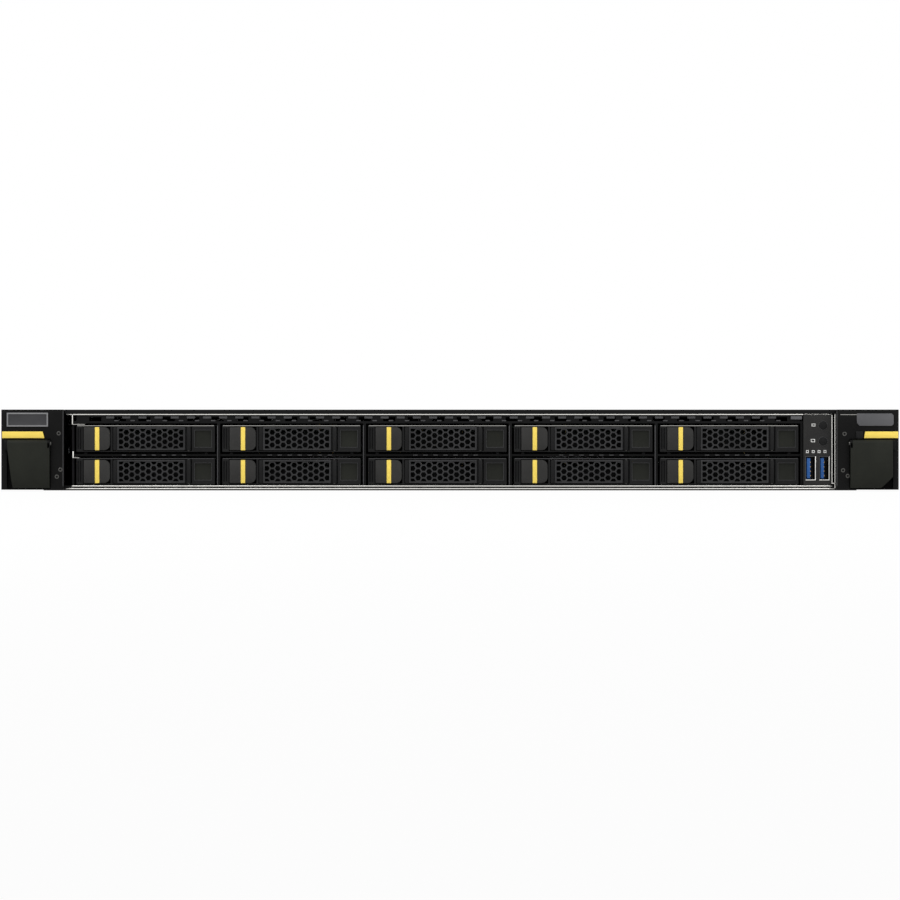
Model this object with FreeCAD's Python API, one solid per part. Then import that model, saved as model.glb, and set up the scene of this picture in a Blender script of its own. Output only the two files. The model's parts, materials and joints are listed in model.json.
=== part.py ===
# 1U rack server with ten front drive trays, modelled piece by piece in millimetres.
#
# +Z is up, the trays and ears face -Y, and +X is on the right of someone who faces them.
# Inside this file Y runs back from the front plane of the chassis. Every solid is moved
# as it is written out, so that the origin lies under the middle of the whole server.
import FreeCAD
import Part
import math
import os

V = FreeCAD.Vector

# ---- Chassis ----
BODY_WIDTH = 438.0
BODY_HEIGHT = 43.5
BODY_DEPTH = 730.0
SHEET = 1.0
LID_GAP = 0.2
FRONT_RETURN = 11.2
FRONT_HEM_HEIGHT = 2.6
FIT_GAP = 0.3
SEAT_GAP = 0.3
CUT_MARGIN = 1.0
RAIL_HOLE_RADIUS = 2.1
RAIL_HOLE_FIRST = 150.0
RAIL_HOLE_SPAN = 400.0

# ---- Rack ears ----
EAR_REACH = 22.3
EAR_HOLE_INSET = 8.75
EAR_HOLE_MARGIN = 5.875
EAR_PLATE = 2.0
EAR_ARM_LENGTH = 62.0
EAR_SLOT_RADIUS = 3.4
EAR_SLOT_LENGTH = 10.0
EAR_FRONT = 6.0
EAR_WALL = 2.0
EAR_CORNER = 1.5
EAR_FLOOR_GAP = 0.4
RACK_PLANE = 24.0
FLIP_SIDE_GAP = 1.5
FLIP_INBOARD = 7.3
FLIP_BOTTOM = 1.3
FLIP_PROUD = 3.0
FLIP_WALL = 1.6
FLIP_TAPER = 2.8
FLIP_HINGE = 2.0
FLIP_PIN_RADIUS = 1.1
CHEEK = 1.2
STRIPE_HEIGHT = 3.6
STRIPE_SLANT = 1.2
STRIPE_TO_FLIP = 0.8
PLATE_HEIGHT = 7.7
PLATE_TOP_MARGIN = 1.6
PLATE_TO_STRIPE = 2.5
TRIM_PROUD = 0.8
TRIM_INSET = 1.5

# ---- Drive trays ----
TRAY_COLUMNS = 5
TRAY_ROWS = 2
TRAY_GAP = 4.0
TRAY_MARGIN_LEFT = 6.5
TRAY_FRAME_DEPTH = 12.0
TRAY_SKIN = 0.6
TRAY_RAIL = 2.125
TRAY_FLANGE = 8.0
TRAY_HEADROOM = 4.3
PANEL_SPACE = 20.1
ROW_GAP = 3.4
LOWER_ROW_Z = 3.0
FRONT_HEADROOM = 8.5
DRIVE_LENGTH = 100.45
DRIVE_HEIGHT = 9.5
DRIVE_SIDE_GAP = 0.25
DRIVE_SETBACK = 1.0
NOTCH_DEPTH = 3.0

# ---- Tray levers and release buttons ----
BUTTON_LEFT = 1.6
BUTTON_WIDTH = 16.8
BUTTON_DEPTH = 7.5
BUTTON_PROUD = 0.5
BUTTON_TRAVEL = 2.0
BUTTON_WALL = 1.2
BUTTON_BEVEL = 1.6
BUTTON_STRIPE_LEFT = 9.4
BUTTON_STRIPE_WIDTH = 2.7
BUTTON_STRIPE_PROUD = 0.4
BUTTON_TO_LEVER = 1.1
PAD_WIDTH = 12.4
PAD_MARGIN = 2.6
PAD_RECESS_DEPTH = 1.2
LEVER_THICKNESS = 2.0
LEVER_RIM = 1.2
LEVER_RIM_PROUD = 0.5
LEVER_TIP = 2.2
HEX_ROWS = 2
HEX_WEB = 0.8
PIN_RADIUS = 0.75
PIN_CLEARANCE = 0.05
BARREL_RADIUS = 1.5

# ---- Drive cage and backplane ----
CAGE_SHEET = 1.2
CAGE_FRONT = 1.2
SHELF_FRONT = 2.4
DIVIDER = 1.6
RUNNER_WIDTH = 1.6
RUNNER_INSET = 4.0
CAGE_ROOF_GAP = 1.1
CAGE_BEHIND_DRIVE = 2.55
VENT_PITCH = 13.2
VENT_SLOT = 6.6
VENT_SLOT_HEIGHT = 2.2
BOARD = 1.6
BACKPLANE_GAP = 0.3
PLUG_DEPTH = 8.0
PLUG_WIDTH = 42.0
PLUG_HEIGHT = 5.0
AIR_SLOT_INSET = 8.0
AIR_SLOT_HEIGHT = 5.0

# ---- Control panel ----
PANEL_THICKNESS = 1.6
PANEL_PROUD = 0.6
PANEL_WALL = 0.7
PANEL_LENGTH = 60.0
PANEL_SIDE_GAP = 2.4
SWITCH_DEPTH = 4.3
BUTTON_RADIUS = 2.2
BUTTON_COLLAR = 1.0
COLLAR_THICKNESS = 1.2
PANEL_BUTTON_PROUD = 1.1
PANEL_BUTTON_TRAVEL = 1.2
POWER_BUTTON_DROP = 6.0
LOCATOR_BUTTON_DROP = 14.6
BUTTON_OFFSET = 3.0
USB_WIDTH = 5.7
USB_HEIGHT = 13.1
USB_DEPTH = 14.0
USB_WALL = 0.4
USB_CLEARANCE = 0.2
USB_TONGUE = 1.9
USB_TONGUE_GAP = 0.5
USB_PITCH = 7.4
USB_BOTTOM = 5.4
USB_PROUD = 0.9
USB_BACK = 2.0

# ---- Fans ----
FAN_COUNT = 6
FAN_DEPTH = 28.0
FAN_SIDE_MARGIN = 15.0
FAN_TOP_GAP = 1.2
FAN_RIM = 1.4
FAN_HUB_RADIUS = 8.0
FAN_BLADES = 5
FAN_SIDES = 12
FAN_TIP_GAP = 0.8
FAN_SHAFT_RADIUS = 1.5
FAN_STRUT = 2.0
BLADE_THICKNESS = 1.2
BLADE_ANGLE = 38.0
CABLE_SPACE = 52.65

# ---- Covers ----
COVER_FLANGE = 6.0
COVER_LIP = 2.2
COVER_LIP_PROUD = 0.8
COVER_SEAM = 0.4
COVER_BEHIND_FANS = 32.0
LATCH_LENGTH = 34.0
LATCH_WIDTH = 26.0
LATCH_THICKNESS = 3.0
LATCH_SETBACK = 14.0
LATCH_PIN_RADIUS = 1.0
PAN_DEPTH = 4.2
PAN_FRONT = 4.0
PAN_BACK = 9.0

# ---- Mainboard, processors and memory ----
STANDOFF = 5.0
STANDOFF_RADIUS = 3.2
STANDOFF_INSET = 14.0
BOARD_SETBACK = 4.0
BOARD_SIDE_MARGIN = 6.0
BOARD_REAR_GAP = 2.0
HEATSINK_WIDTH = 78.0
HEATSINK_LENGTH = 108.0
HEATSINK_LID_GAP = 7.5
HEATSINK_BASE = 4.5
HEATSINK_FINS = 16
SOCKET_HEIGHT = 6.0
SOCKET_INSET = 8.0
SOCKET_END_INSET = 14.0
MEMORY_LENGTH = 133.35
MEMORY_LID_GAP = 5.9
MEMORY_THICKNESS = 3.2
MEMORY_PITCH = 8.0
MEMORY_PER_SIDE = 4
MEMORY_SOCKET_HEIGHT = 4.0
MEMORY_SOCKET_MARGIN = 4.0
MEMORY_SETBACK = 16.0
MEMORY_TO_HEATSINK = 3.0
CHIP_SIZE = 26.0
CHIP_HEIGHT = 3.0

# ---- Power supplies ----
SUPPLY_WIDTH = 73.5
SUPPLY_LENGTH = 185.0
SUPPLY_GAP = 0.8
SUPPLY_SIDE_GAP = 2.2
SUPPLY_TOP_GAP = 1.6
SUPPLY_MARGIN = 5.0
SUPPLY_FAN_RADIUS = 17.0
SUPPLY_FAN_HUB = 6.5
SUPPLY_FAN_DEPTH = 4.0
INLET_WIDTH = 24.6
INLET_HEIGHT = 16.8
INLET_DEPTH = 16.0
INLET_BEVEL = 4.5
HANDLE_REACH = 26.0
HANDLE_THICKNESS = 3.0
HANDLE_HEIGHT = 10.0
HANDLE_SLOPE = 6.0
HANDLE_MARGIN = 3.0
TAB_WIDTH = 2.6
TAB_REACH = 16.0
TAB_HEIGHT = 14.0
TAB_LOW = 4.0
TAB_TRAVEL = 2.5

# ---- Rear connectors ----
CONNECTOR_PROUD = 0.6
CONNECTOR_START = 18.0
CONNECTOR_GAP = 2.0
CONNECTOR_GROUP_GAP = 4.0
JACK_COUNT = 3
JACK_WIDTH = 15.6
JACK_HEIGHT = 13.4
JACK_DEPTH = 21.0
JACK_MOUTH_WIDTH = 11.8
JACK_MOUTH_HEIGHT = 8.6
JACK_MOUTH_DEPTH = 12.0
JACK_SILL = 2.2
DISPLAY_WIDTH = 31.0
DISPLAY_HEIGHT = 12.4
DISPLAY_REACH = 5.3
BLANK_COUNT = 2
BLANK_START = 16.0
BLANK_LENGTH = 79.2
BLANK_GAP = 12.0
BLANK_LIP = 6.0
BLANK_TOP_MARGIN = 1.5
BLANK_VENTS = 5
REAR_VENT_WIDTH = 9.0
REAR_VENT_PITCH = 14.0

# ---- Fasteners ----
SCREW_RADIUS = 2.6
SCREW_HEIGHT = 0.8
SCREW_SPACING = 28.0
SCREW_SETBACK = 18.0
CAPTIVE_BORE = 2.9
CAPTIVE_COLLAR = 4.2
CAPTIVE_COLLAR_THICKNESS = 1.5
CAPTIVE_HEAD = 8.0
CAPTIVE_REACH = 6.0

# ---- Sizes that follow ----
RACK_WIDTH = BODY_WIDTH + 2 * EAR_REACH
EAR_HOLE_SPAN = RACK_WIDTH - 2 * EAR_HOLE_INSET
EAR_HOLE_RISE = BODY_HEIGHT - 2 * EAR_HOLE_MARGIN
OPENING_WIDTH = BODY_WIDTH - 2 * FRONT_RETURN
HALF_BODY = BODY_WIDTH / 2
HALF_RACK = RACK_WIDTH / 2
HALF_OPENING = OPENING_WIDTH / 2
WALL_TOP = BODY_HEIGHT - SHEET - LID_GAP
REAR_WALL = BODY_DEPTH - SHEET
FRONT_REACH = EAR_FRONT + FLIP_PROUD
MIDDLE_Y = (BODY_DEPTH + HANDLE_REACH - FRONT_REACH) / 2

TRAY_PITCH = (OPENING_WIDTH - TRAY_MARGIN_LEFT - PANEL_SPACE + TRAY_GAP) / TRAY_COLUMNS
TRAY_WIDTH = TRAY_PITCH - TRAY_GAP
ROWS_HEIGHT = BODY_HEIGHT - LOWER_ROW_Z - FRONT_HEADROOM - (TRAY_ROWS - 1) * ROW_GAP
TRAY_HEIGHT = ROWS_HEIGHT / TRAY_ROWS
TRAY_RAIL_HEIGHT = TRAY_HEIGHT - TRAY_HEADROOM
DRIVE_WIDTH = TRAY_WIDTH - 2 * (TRAY_RAIL + DRIVE_SIDE_GAP)
DRIVE_START = TRAY_FRAME_DEPTH + DRIVE_SETBACK
FIRST_TRAY = -HALF_OPENING + TRAY_MARGIN_LEFT
LAST_TRAY_END = FIRST_TRAY + (TRAY_COLUMNS - 1) * TRAY_PITCH + TRAY_WIDTH
BAY_CLEARANCE = (TRAY_GAP - DIVIDER) / 2
UPPER_ROW_Z = LOWER_ROW_Z + TRAY_HEIGHT + ROW_GAP
CAGE_ROOF = UPPER_ROW_Z + TRAY_HEIGHT + CAGE_ROOF_GAP
CAGE_DEPTH = DRIVE_START + DRIVE_LENGTH + CAGE_BEHIND_DRIVE

BUTTON_RIGHT = BUTTON_LEFT + BUTTON_WIDTH
LEVER_POCKET = BUTTON_RIGHT + BUTTON_TO_LEVER
LEVER_POCKET_END = TRAY_WIDTH - PAD_WIDTH
LEVER_LOW = TRAY_SKIN + FIT_GAP
LEVER_HEIGHT = TRAY_HEIGHT - 2 * LEVER_LOW
HEX_PITCH = (LEVER_HEIGHT - 2 * LEVER_RIM + HEX_WEB) / HEX_ROWS
HEX_COLUMN_STEP = HEX_PITCH * math.sqrt(3) / 2
PIN_X = LEVER_POCKET_END - FIT_GAP - BARREL_RADIUS
PIN_Y = LEVER_THICKNESS / 2
PAD_RECESS = TRAY_HEIGHT - 2 * PAD_MARGIN

PLUG_START = DRIVE_START + DRIVE_LENGTH + BACKPLANE_GAP
BACKPLANE_START = PLUG_START + PLUG_DEPTH

PANEL_LEFT = LAST_TRAY_END + BAY_CLEARANCE + CAGE_SHEET
PANEL_X = PANEL_LEFT + FIT_GAP
PANEL_RIGHT = HALF_OPENING - PANEL_SIDE_GAP
PANEL_LOW = FRONT_HEM_HEIGHT + FIT_GAP
PANEL_HIGH = BODY_HEIGHT - COVER_LIP - FIT_GAP

PLATE_LOW = BODY_HEIGHT - PLATE_TOP_MARGIN - PLATE_HEIGHT
STRIPE_LOW = PLATE_LOW - PLATE_TO_STRIPE - STRIPE_HEIGHT
FLIP_TOP = STRIPE_LOW - STRIPE_TO_FLIP
FLIP_OUTER = HALF_RACK - EAR_WALL - FLIP_SIDE_GAP
FLIP_WIDTH = FLIP_OUTER - HALF_OPENING - FLIP_INBOARD
FLIP_PIN_Z = FLIP_TOP - FLIP_HINGE
FLIP_PIN_Y = -EAR_FRONT - FLIP_PROUD + FLIP_HINGE

FAN_SIZE = BODY_HEIGHT - 2 * SHEET - SEAT_GAP - FAN_TOP_GAP
FAN_PITCH = (BODY_WIDTH - 2 * FAN_SIDE_MARGIN) / FAN_COUNT
FAN_START = BACKPLANE_START + BOARD + CABLE_SPACE
FAN_BORE_RADIUS = FAN_SIZE / 2 - FAN_RIM
FAN_MIDDLE_Z = SHEET + SEAT_GAP + FAN_SIZE / 2
ROTOR_FRONT = FAN_START + 3.0
ROTOR_BACK = FAN_START + FAN_DEPTH - 8.0

FRONT_COVER_END = FAN_START + FAN_DEPTH + COVER_BEHIND_FANS
LATCH_START = FRONT_COVER_END + LATCH_SETBACK
LATCH_PIN_Z = BODY_HEIGHT - FIT_GAP - LATCH_THICKNESS / 2

MAINBOARD_START = FRONT_COVER_END + BOARD_SETBACK
MAINBOARD_END = REAR_WALL - BOARD_REAR_GAP
MAINBOARD_LOW = SHEET + STANDOFF
MAINBOARD_TOP = MAINBOARD_LOW + BOARD
MEMORY_START = LATCH_START + LATCH_LENGTH + MEMORY_SETBACK
MEMORY_TOP = BODY_HEIGHT - MEMORY_LID_GAP
HEATSINK_START = MEMORY_START + (MEMORY_LENGTH - HEATSINK_LENGTH) / 2
HEATSINK_TOP = BODY_HEIGHT - HEATSINK_LID_GAP

SUPPLY_START = BODY_DEPTH - SUPPLY_LENGTH
SUPPLY_LOW = SHEET + SEAT_GAP
SUPPLY_TOP = BODY_HEIGHT - SHEET - SUPPLY_TOP_GAP
SUPPLY_MIDDLE = (SUPPLY_LOW + SUPPLY_TOP) / 2
PAIR_LEFT = HALF_BODY - SHEET - SUPPLY_SIDE_GAP - 2 * SUPPLY_WIDTH - SUPPLY_GAP
PARTITION = PAIR_LEFT - SUPPLY_GAP - SHEET
TAB_OFFSET = SUPPLY_WIDTH - SUPPLY_MARGIN - INLET_WIDTH - TAB_WIDTH - TAB_TRAVEL - FIT_GAP

BLANK_LOW = MAINBOARD_TOP + JACK_HEIGHT + 1.4
BLANK_HEIGHT = WALL_TOP - BLANK_TOP_MARGIN - BLANK_LOW


# ---------------------------------------------------------------- shape helpers
def block(x0, x1, y0, y1, z0, z1):
    """Box between two corners."""
    return Part.makeBox(x1 - x0, y1 - y0, z1 - z0, V(x0, y0, z0))


def drawn(points, along):
    """Flat outline of 3-D points, drawn out along a vector."""
    corners = [V(*p) for p in points]
    wire = Part.makePolygon(corners + corners[:1])
    return Part.Face(wire).extrude(V(*along))


def drawn_x(outline, x0, x1):
    """Outline of (y, z) points drawn out from x0 to x1."""
    return drawn([(x0, y, z) for y, z in outline], (x1 - x0, 0, 0))


def drawn_y(outline, y0, y1):
    """Outline of (x, z) points drawn out from y0 to y1."""
    return drawn([(x, y0, z) for x, z in outline], (0, y1 - y0, 0))


def drawn_z(outline, z0, z1):
    """Outline of (x, y) points drawn out from z0 to z1."""
    return drawn([(x, y, z0) for x, y in outline], (0, 0, z1 - z0))


def round_x(radius, x0, x1, y, z):
    return Part.makeCylinder(radius, x1 - x0, V(x0, y, z), V(1, 0, 0))


def round_y(radius, y0, y1, x, z):
    return Part.makeCylinder(radius, y1 - y0, V(x, y0, z), V(0, 1, 0))


def round_z(radius, z0, z1, x, y):
    return Part.makeCylinder(radius, z1 - z0, V(x, y, z0), V(0, 0, 1))


def polygon(count, radius, x, z):
    """Corners of a regular polygon in a flat plane."""
    steps = [math.radians(360.0 * k / count) for k in range(count)]
    return [(x + radius * math.cos(a), z + radius * math.sin(a)) for a in steps]


def bore(count, radius, x, z):
    """Corners of a hole whose flat sides all clear a pin of the given radius."""
    return polygon(count, (radius + PIN_CLEARANCE) / math.cos(math.pi / count), x, z)


def joined(solids):
    """One solid from pieces that touch or overlap."""
    return solids[0].fuse(list(solids[1:])).removeSplitter()


def cut(solid, tools):
    return solid.cut(list(tools)) if tools else solid


def shifted(shape, x=0.0, y=0.0, z=0.0):
    moved = shape.copy()
    moved.translate(V(x, y, z))
    return moved


def mirrored(shape):
    """Twin on the other side of the X = 0 plane."""
    return shape.mirror(V(0, 0, 0), V(1, 0, 0))


def save(name, shapes):
    """Write one named piece, moved so that the origin lies under the middle of the server."""
    solids = [s for shape in shapes for s in shape.Solids]
    assert solids and all(s.isValid() and s.Volume > 0 for s in solids), name
    group = Part.makeCompound([shifted(s, y=-MIDDLE_Y) for s in solids])
    result = group if len(solids) > 1 else group.Solids[0]
    result.exportStep(os.path.join("parts", name + ".step"))


# ---------------------------------------------------------------- drive trays
def tray_places():
    """Left edge and bottom of each tray, top row first, from left to right."""
    rows = [UPPER_ROW_Z, LOWER_ROW_Z][:TRAY_ROWS]
    return [(FIRST_TRAY + c * TRAY_PITCH, z) for z in rows for c in range(TRAY_COLUMNS)]


def tray_frame():
    """Front frame of a tray: button pocket, open lever window and the pad with its recess."""
    frame = block(0, TRAY_WIDTH, 0, TRAY_FRAME_DEPTH, 0, TRAY_HEIGHT)
    low, high = TRAY_SKIN, TRAY_HEIGHT - TRAY_SKIN
    button_floor = BUTTON_DEPTH + BUTTON_TRAVEL + FIT_GAP
    pad_middle = TRAY_WIDTH - PAD_WIDTH / 2
    half = PAD_RECESS / 2
    middle = TRAY_HEIGHT / 2
    pockets = [
        block(BUTTON_LEFT, BUTTON_RIGHT, -CUT_MARGIN, button_floor, low, high),
        block(LEVER_POCKET, LEVER_POCKET_END, -CUT_MARGIN, TRAY_FRAME_DEPTH + CUT_MARGIN, low, high),
        block(pad_middle - half, pad_middle + half, -CUT_MARGIN, PAD_RECESS_DEPTH,
              middle - half, middle + half),
    ]
    return cut(frame, pockets)


def tray_rail(side):
    """Folded side rail that carries the drive, with its floor flange turned inwards."""
    inner = TRAY_RAIL
    outline = [(0, 0), (TRAY_FLANGE, 0), (TRAY_FLANGE, TRAY_SKIN), (inner, TRAY_SKIN)]
    outline += [(inner, TRAY_SKIN + TRAY_RAIL_HEIGHT), (0, TRAY_SKIN + TRAY_RAIL_HEIGHT)]
    if side > 0:
        outline = [(TRAY_WIDTH - x, z) for x, z in outline]
    return drawn_y(outline, TRAY_FRAME_DEPTH, DRIVE_START + DRIVE_LENGTH - FIT_GAP)


def tray_drive():
    """2.5 inch drive with its connector notch at the back."""
    left = (TRAY_WIDTH - DRIVE_WIDTH) / 2
    back = DRIVE_START + DRIVE_LENGTH
    body = block(left, left + DRIVE_WIDTH, DRIVE_START, back, TRAY_SKIN, TRAY_SKIN + DRIVE_HEIGHT)
    notch_left = (TRAY_WIDTH - PLUG_WIDTH) / 2
    notch = block(notch_left, notch_left + PLUG_WIDTH, back - NOTCH_DEPTH, back + CUT_MARGIN,
                  0, TRAY_SKIN + PLUG_HEIGHT)
    return body.cut(notch)


def tray(x, z):
    """Carrier, drive and lever pin of one tray."""
    carrier = joined([tray_frame(), tray_rail(-1), tray_rail(1)])
    pin = drawn_z(polygon(8, PIN_RADIUS, PIN_X, PIN_Y), TRAY_SKIN, TRAY_HEIGHT - TRAY_SKIN)
    return [shifted(s, x=x, z=z) for s in (carrier, tray_drive(), pin)]


def honeycomb(x0, x1, z0, z1):
    """Hexagonal holes in staggered columns, with only whole holes kept."""
    radius = (HEX_PITCH - HEX_WEB) / math.sqrt(3)
    columns = int((x1 - x0 - 2 * radius) / HEX_COLUMN_STEP) + 1
    first_x = (x0 + x1 - (columns - 1) * HEX_COLUMN_STEP) / 2
    holes = []
    for column in range(columns):
        count = HEX_ROWS - column % 2
        first_z = (z0 + z1 - (count - 1) * HEX_PITCH) / 2
        for row in range(count):
            corners = polygon(6, radius, first_x + column * HEX_COLUMN_STEP, first_z + row * HEX_PITCH)
            holes.append(drawn_y(corners, -CUT_MARGIN, LEVER_THICKNESS + CUT_MARGIN))
    return holes


def tray_lever(x, z):
    """Pull lever: a honeycomb plate in a raised rim, on a barrel that turns on the tray's pin."""
    left = LEVER_POCKET + FIT_GAP
    low, high = LEVER_LOW, LEVER_LOW + LEVER_HEIGHT
    rim_left = left + LEVER_TIP
    rim_right = PIN_X - BARREL_RADIUS - FIT_GAP
    plate = block(left, PIN_X, 0, LEVER_THICKNESS, low, high)
    rim = block(rim_left, rim_right, -LEVER_RIM_PROUD, LEVER_THICKNESS, low, high)
    barrel = drawn_z(polygon(10, BARREL_RADIUS, PIN_X, PIN_Y), low, high)
    body = joined([plate, rim, barrel])
    well = (rim_left + LEVER_RIM, rim_right - LEVER_RIM, low + LEVER_RIM, high - LEVER_RIM)
    tools = [block(well[0], well[1], -LEVER_RIM_PROUD - CUT_MARGIN, 0, well[2], well[3])]
    tools.append(drawn_z(bore(8, PIN_RADIUS, PIN_X, PIN_Y), low - CUT_MARGIN, high + CUT_MARGIN))
    tools += honeycomb(*well)
    return [shifted(cut(body, tools), x=x, z=z)]


def tray_latch(x, z):
    """Release button with its raised stripe and a hollow back round the spring."""
    left = BUTTON_LEFT + FIT_GAP
    right = BUTTON_RIGHT - FIT_GAP
    low, high = LEVER_LOW, LEVER_LOW + LEVER_HEIGHT
    shoulder = BUTTON_STRIPE_PROUD
    outline = [(left, shoulder), (left + shoulder, -BUTTON_PROUD)]
    outline += [(right - BUTTON_BEVEL, -BUTTON_PROUD), (right, shoulder)]
    outline += [(right, BUTTON_DEPTH), (left, BUTTON_DEPTH)]
    button = drawn_z(outline, low, high)
    wall = BUTTON_WALL
    hollow = block(left + wall, right - wall, wall, BUTTON_DEPTH + CUT_MARGIN, low + wall, high - wall)
    front = -BUTTON_PROUD - BUTTON_STRIPE_PROUD
    stripe = block(BUTTON_STRIPE_LEFT, BUTTON_STRIPE_LEFT + BUTTON_STRIPE_WIDTH, front, 0, low, high)
    return [shifted(joined([button.cut(hollow), stripe]), x=x, z=z)]


# ---------------------------------------------------------------- chassis
def supply_left(index):
    """Left side of a power supply; the second one stands against the right wall."""
    return PAIR_LEFT + index * (SUPPLY_WIDTH + SUPPLY_GAP)


def blank_places():
    """Left edges of the expansion slot blanks in the rear wall."""
    first = -HALF_BODY + BLANK_START
    return [first + k * (BLANK_LENGTH + BLANK_GAP) for k in range(BLANK_COUNT)]


def connector_places():
    """Rear connectors as (left, width, bottom, height)."""
    low = MAINBOARD_TOP
    first = -HALF_BODY + CONNECTOR_START
    step = JACK_WIDTH + CONNECTOR_GAP
    jacks = [(first + k * step, JACK_WIDTH, low, JACK_HEIGHT) for k in range(JACK_COUNT)]
    usb_left = first + JACK_COUNT * step + CONNECTOR_GROUP_GAP
    usb_step = USB_HEIGHT + CONNECTOR_GAP
    usbs = [(usb_left + k * usb_step, USB_HEIGHT, low, USB_WIDTH) for k in range(2)]
    display_left = usb_left + 2 * usb_step + CONNECTOR_GROUP_GAP
    return jacks + usbs + [(display_left, DISPLAY_WIDTH, low, DISPLAY_HEIGHT)]


def rear_openings():
    """Cut-outs of the rear wall as (x0, x1, z0, z1): supplies, blanks, connectors and vents."""
    supplies_end = supply_left(1) + SUPPLY_WIDTH + FIT_GAP
    openings = [(PAIR_LEFT - FIT_GAP, supplies_end, SUPPLY_LOW - FIT_GAP, SUPPLY_TOP + FIT_GAP)]
    for left in blank_places():
        openings.append((left, left + BLANK_LENGTH, BLANK_LOW, BLANK_LOW + BLANK_HEIGHT))
    places = connector_places()
    end = places[-1][0] + places[-1][1] + FIT_GAP
    openings.append((places[0][0] - FIT_GAP, end, MAINBOARD_TOP - FIT_GAP,
                     MAINBOARD_TOP + JACK_HEIGHT + FIT_GAP))
    vents_start = end + BLANK_GAP
    vents_end = PARTITION - SUPPLY_MARGIN
    count = int((vents_end - vents_start - REAR_VENT_WIDTH) / REAR_VENT_PITCH) + 1
    for k in range(count):
        x = vents_start + k * REAR_VENT_PITCH
        openings.append((x, x + REAR_VENT_WIDTH, MAINBOARD_TOP, BLANK_LOW - BLANK_TOP_MARGIN))
    return openings


def standoff_places():
    """Mainboard standoffs: two rows in front of the power supplies, and two beside them."""
    side = HALF_BODY - STANDOFF_INSET
    xs = [-side, -side / 3, side / 3, side]
    rows = (MAINBOARD_START + STANDOFF_INSET, SUPPLY_START - 2 * STANDOFF_INSET)
    front = [(x, y) for y in rows for x in xs]
    beside = [(x, MAINBOARD_END - STANDOFF_INSET) for x in (-side, PARTITION - STANDOFF_INSET)]
    return front + beside


def chassis_pan():
    """Folded tray: floor, side walls and front returns, with holes for the slide rails."""
    w, t = HALF_BODY, SHEET
    outline = [(-w, 0), (w, 0), (w, WALL_TOP), (w - t, WALL_TOP), (w - t, t)]
    outline += [(-w + t, t), (-w + t, WALL_TOP), (-w, WALL_TOP)]
    shell = drawn_y(outline, 0, BODY_DEPTH)
    hem = block(-HALF_OPENING, HALF_OPENING, 0, t, t, FRONT_HEM_HEIGHT)
    front_return = block(HALF_OPENING, w - t, 0, t, t, WALL_TOP)
    body = joined([shell, hem, front_return, mirrored(front_return)])
    holes = []
    for y in (RAIL_HOLE_FIRST, RAIL_HOLE_FIRST + RAIL_HOLE_SPAN):
        for side in (-1, 1):
            middle = side * (w - t / 2)
            holes.append(round_x(RAIL_HOLE_RADIUS, middle - t, middle + t, y, BODY_HEIGHT / 2))
    return cut(body, holes)


def chassis_base():
    """The folded tray with its riveted rear wall, partition and mainboard standoffs."""
    t = SHEET
    wall = block(-HALF_BODY + t, HALF_BODY - t, REAR_WALL, BODY_DEPTH, t, WALL_TOP)
    openings = [block(x0, x1, REAR_WALL - CUT_MARGIN, BODY_DEPTH + CUT_MARGIN, z0, z1)
                for x0, x1, z0, z1 in rear_openings()]
    partition = block(PARTITION, PARTITION + t, SUPPLY_START, REAR_WALL, t, WALL_TOP - t)
    posts = [drawn_z(polygon(6, STANDOFF_RADIUS, x, y), t, MAINBOARD_LOW) for x, y in standoff_places()]
    return [chassis_pan(), cut(wall, openings), partition] + posts


def runners(x, floor, top):
    """Two runners under one tray."""
    lefts = (x + RUNNER_INSET, x + TRAY_WIDTH - RUNNER_INSET - RUNNER_WIDTH)
    return [block(left, left + RUNNER_WIDTH, SHELF_FRONT, CAGE_DEPTH - RUNNER_INSET, floor, top - SEAT_GAP)
            for left in lefts]


def vent_strip():
    """Slotted strip above the trays: slots open downwards, with tabs between them."""
    low = CAGE_ROOF + CAGE_SHEET
    high = WALL_TOP - FIT_GAP
    x0, x1 = FIRST_TRAY, PANEL_LEFT - CAGE_SHEET - FIT_GAP
    strip = block(x0, x1, CAGE_FRONT, CAGE_FRONT + CAGE_SHEET, low, high)
    count = int((x1 - x0 - VENT_SLOT) / VENT_PITCH)
    first = (x0 + x1 - (count - 1) * VENT_PITCH - VENT_SLOT) / 2
    slots = [block(first + k * VENT_PITCH, first + k * VENT_PITCH + VENT_SLOT,
                   CAGE_FRONT - CUT_MARGIN, CAGE_FRONT + CAGE_SHEET + CUT_MARGIN,
                   low, low + VENT_SLOT_HEIGHT) for k in range(count)]
    return cut(strip, slots)


def drive_cage():
    """Floor, middle shelf, roof, side walls and dividers, with runners under every tray."""
    left = FIRST_TRAY - BAY_CLEARANCE - CAGE_SHEET
    right = PANEL_LEFT
    t = CAGE_SHEET
    roof_top = CAGE_ROOF + t
    floor_top = SHEET + t
    shelf_low = LOWER_ROW_Z + TRAY_HEIGHT + CAGE_ROOF_GAP
    plates = [block(left, right, SHELF_FRONT, CAGE_DEPTH, SHEET, floor_top)]
    plates.append(block(left, right, SHELF_FRONT, CAGE_DEPTH, shelf_low, shelf_low + t))
    plates.append(block(left, right, CAGE_FRONT, CAGE_DEPTH, CAGE_ROOF, roof_top))
    plates.append(block(left, left + t, CAGE_FRONT, CAGE_DEPTH, SHEET, roof_top))
    plates.append(block(right - t, right, CAGE_FRONT, CAGE_DEPTH, SHEET, roof_top))
    for column in range(1, TRAY_COLUMNS):
        x = FIRST_TRAY + column * TRAY_PITCH - BAY_CLEARANCE - DIVIDER
        plates.append(block(x, x + DIVIDER, CAGE_FRONT, CAGE_DEPTH, SHEET, roof_top))
    for x, z in tray_places():
        floor = floor_top if z == LOWER_ROW_Z else shelf_low + t
        plates += runners(x, floor, z)
    return [joined(plates + [vent_strip()])]


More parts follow.
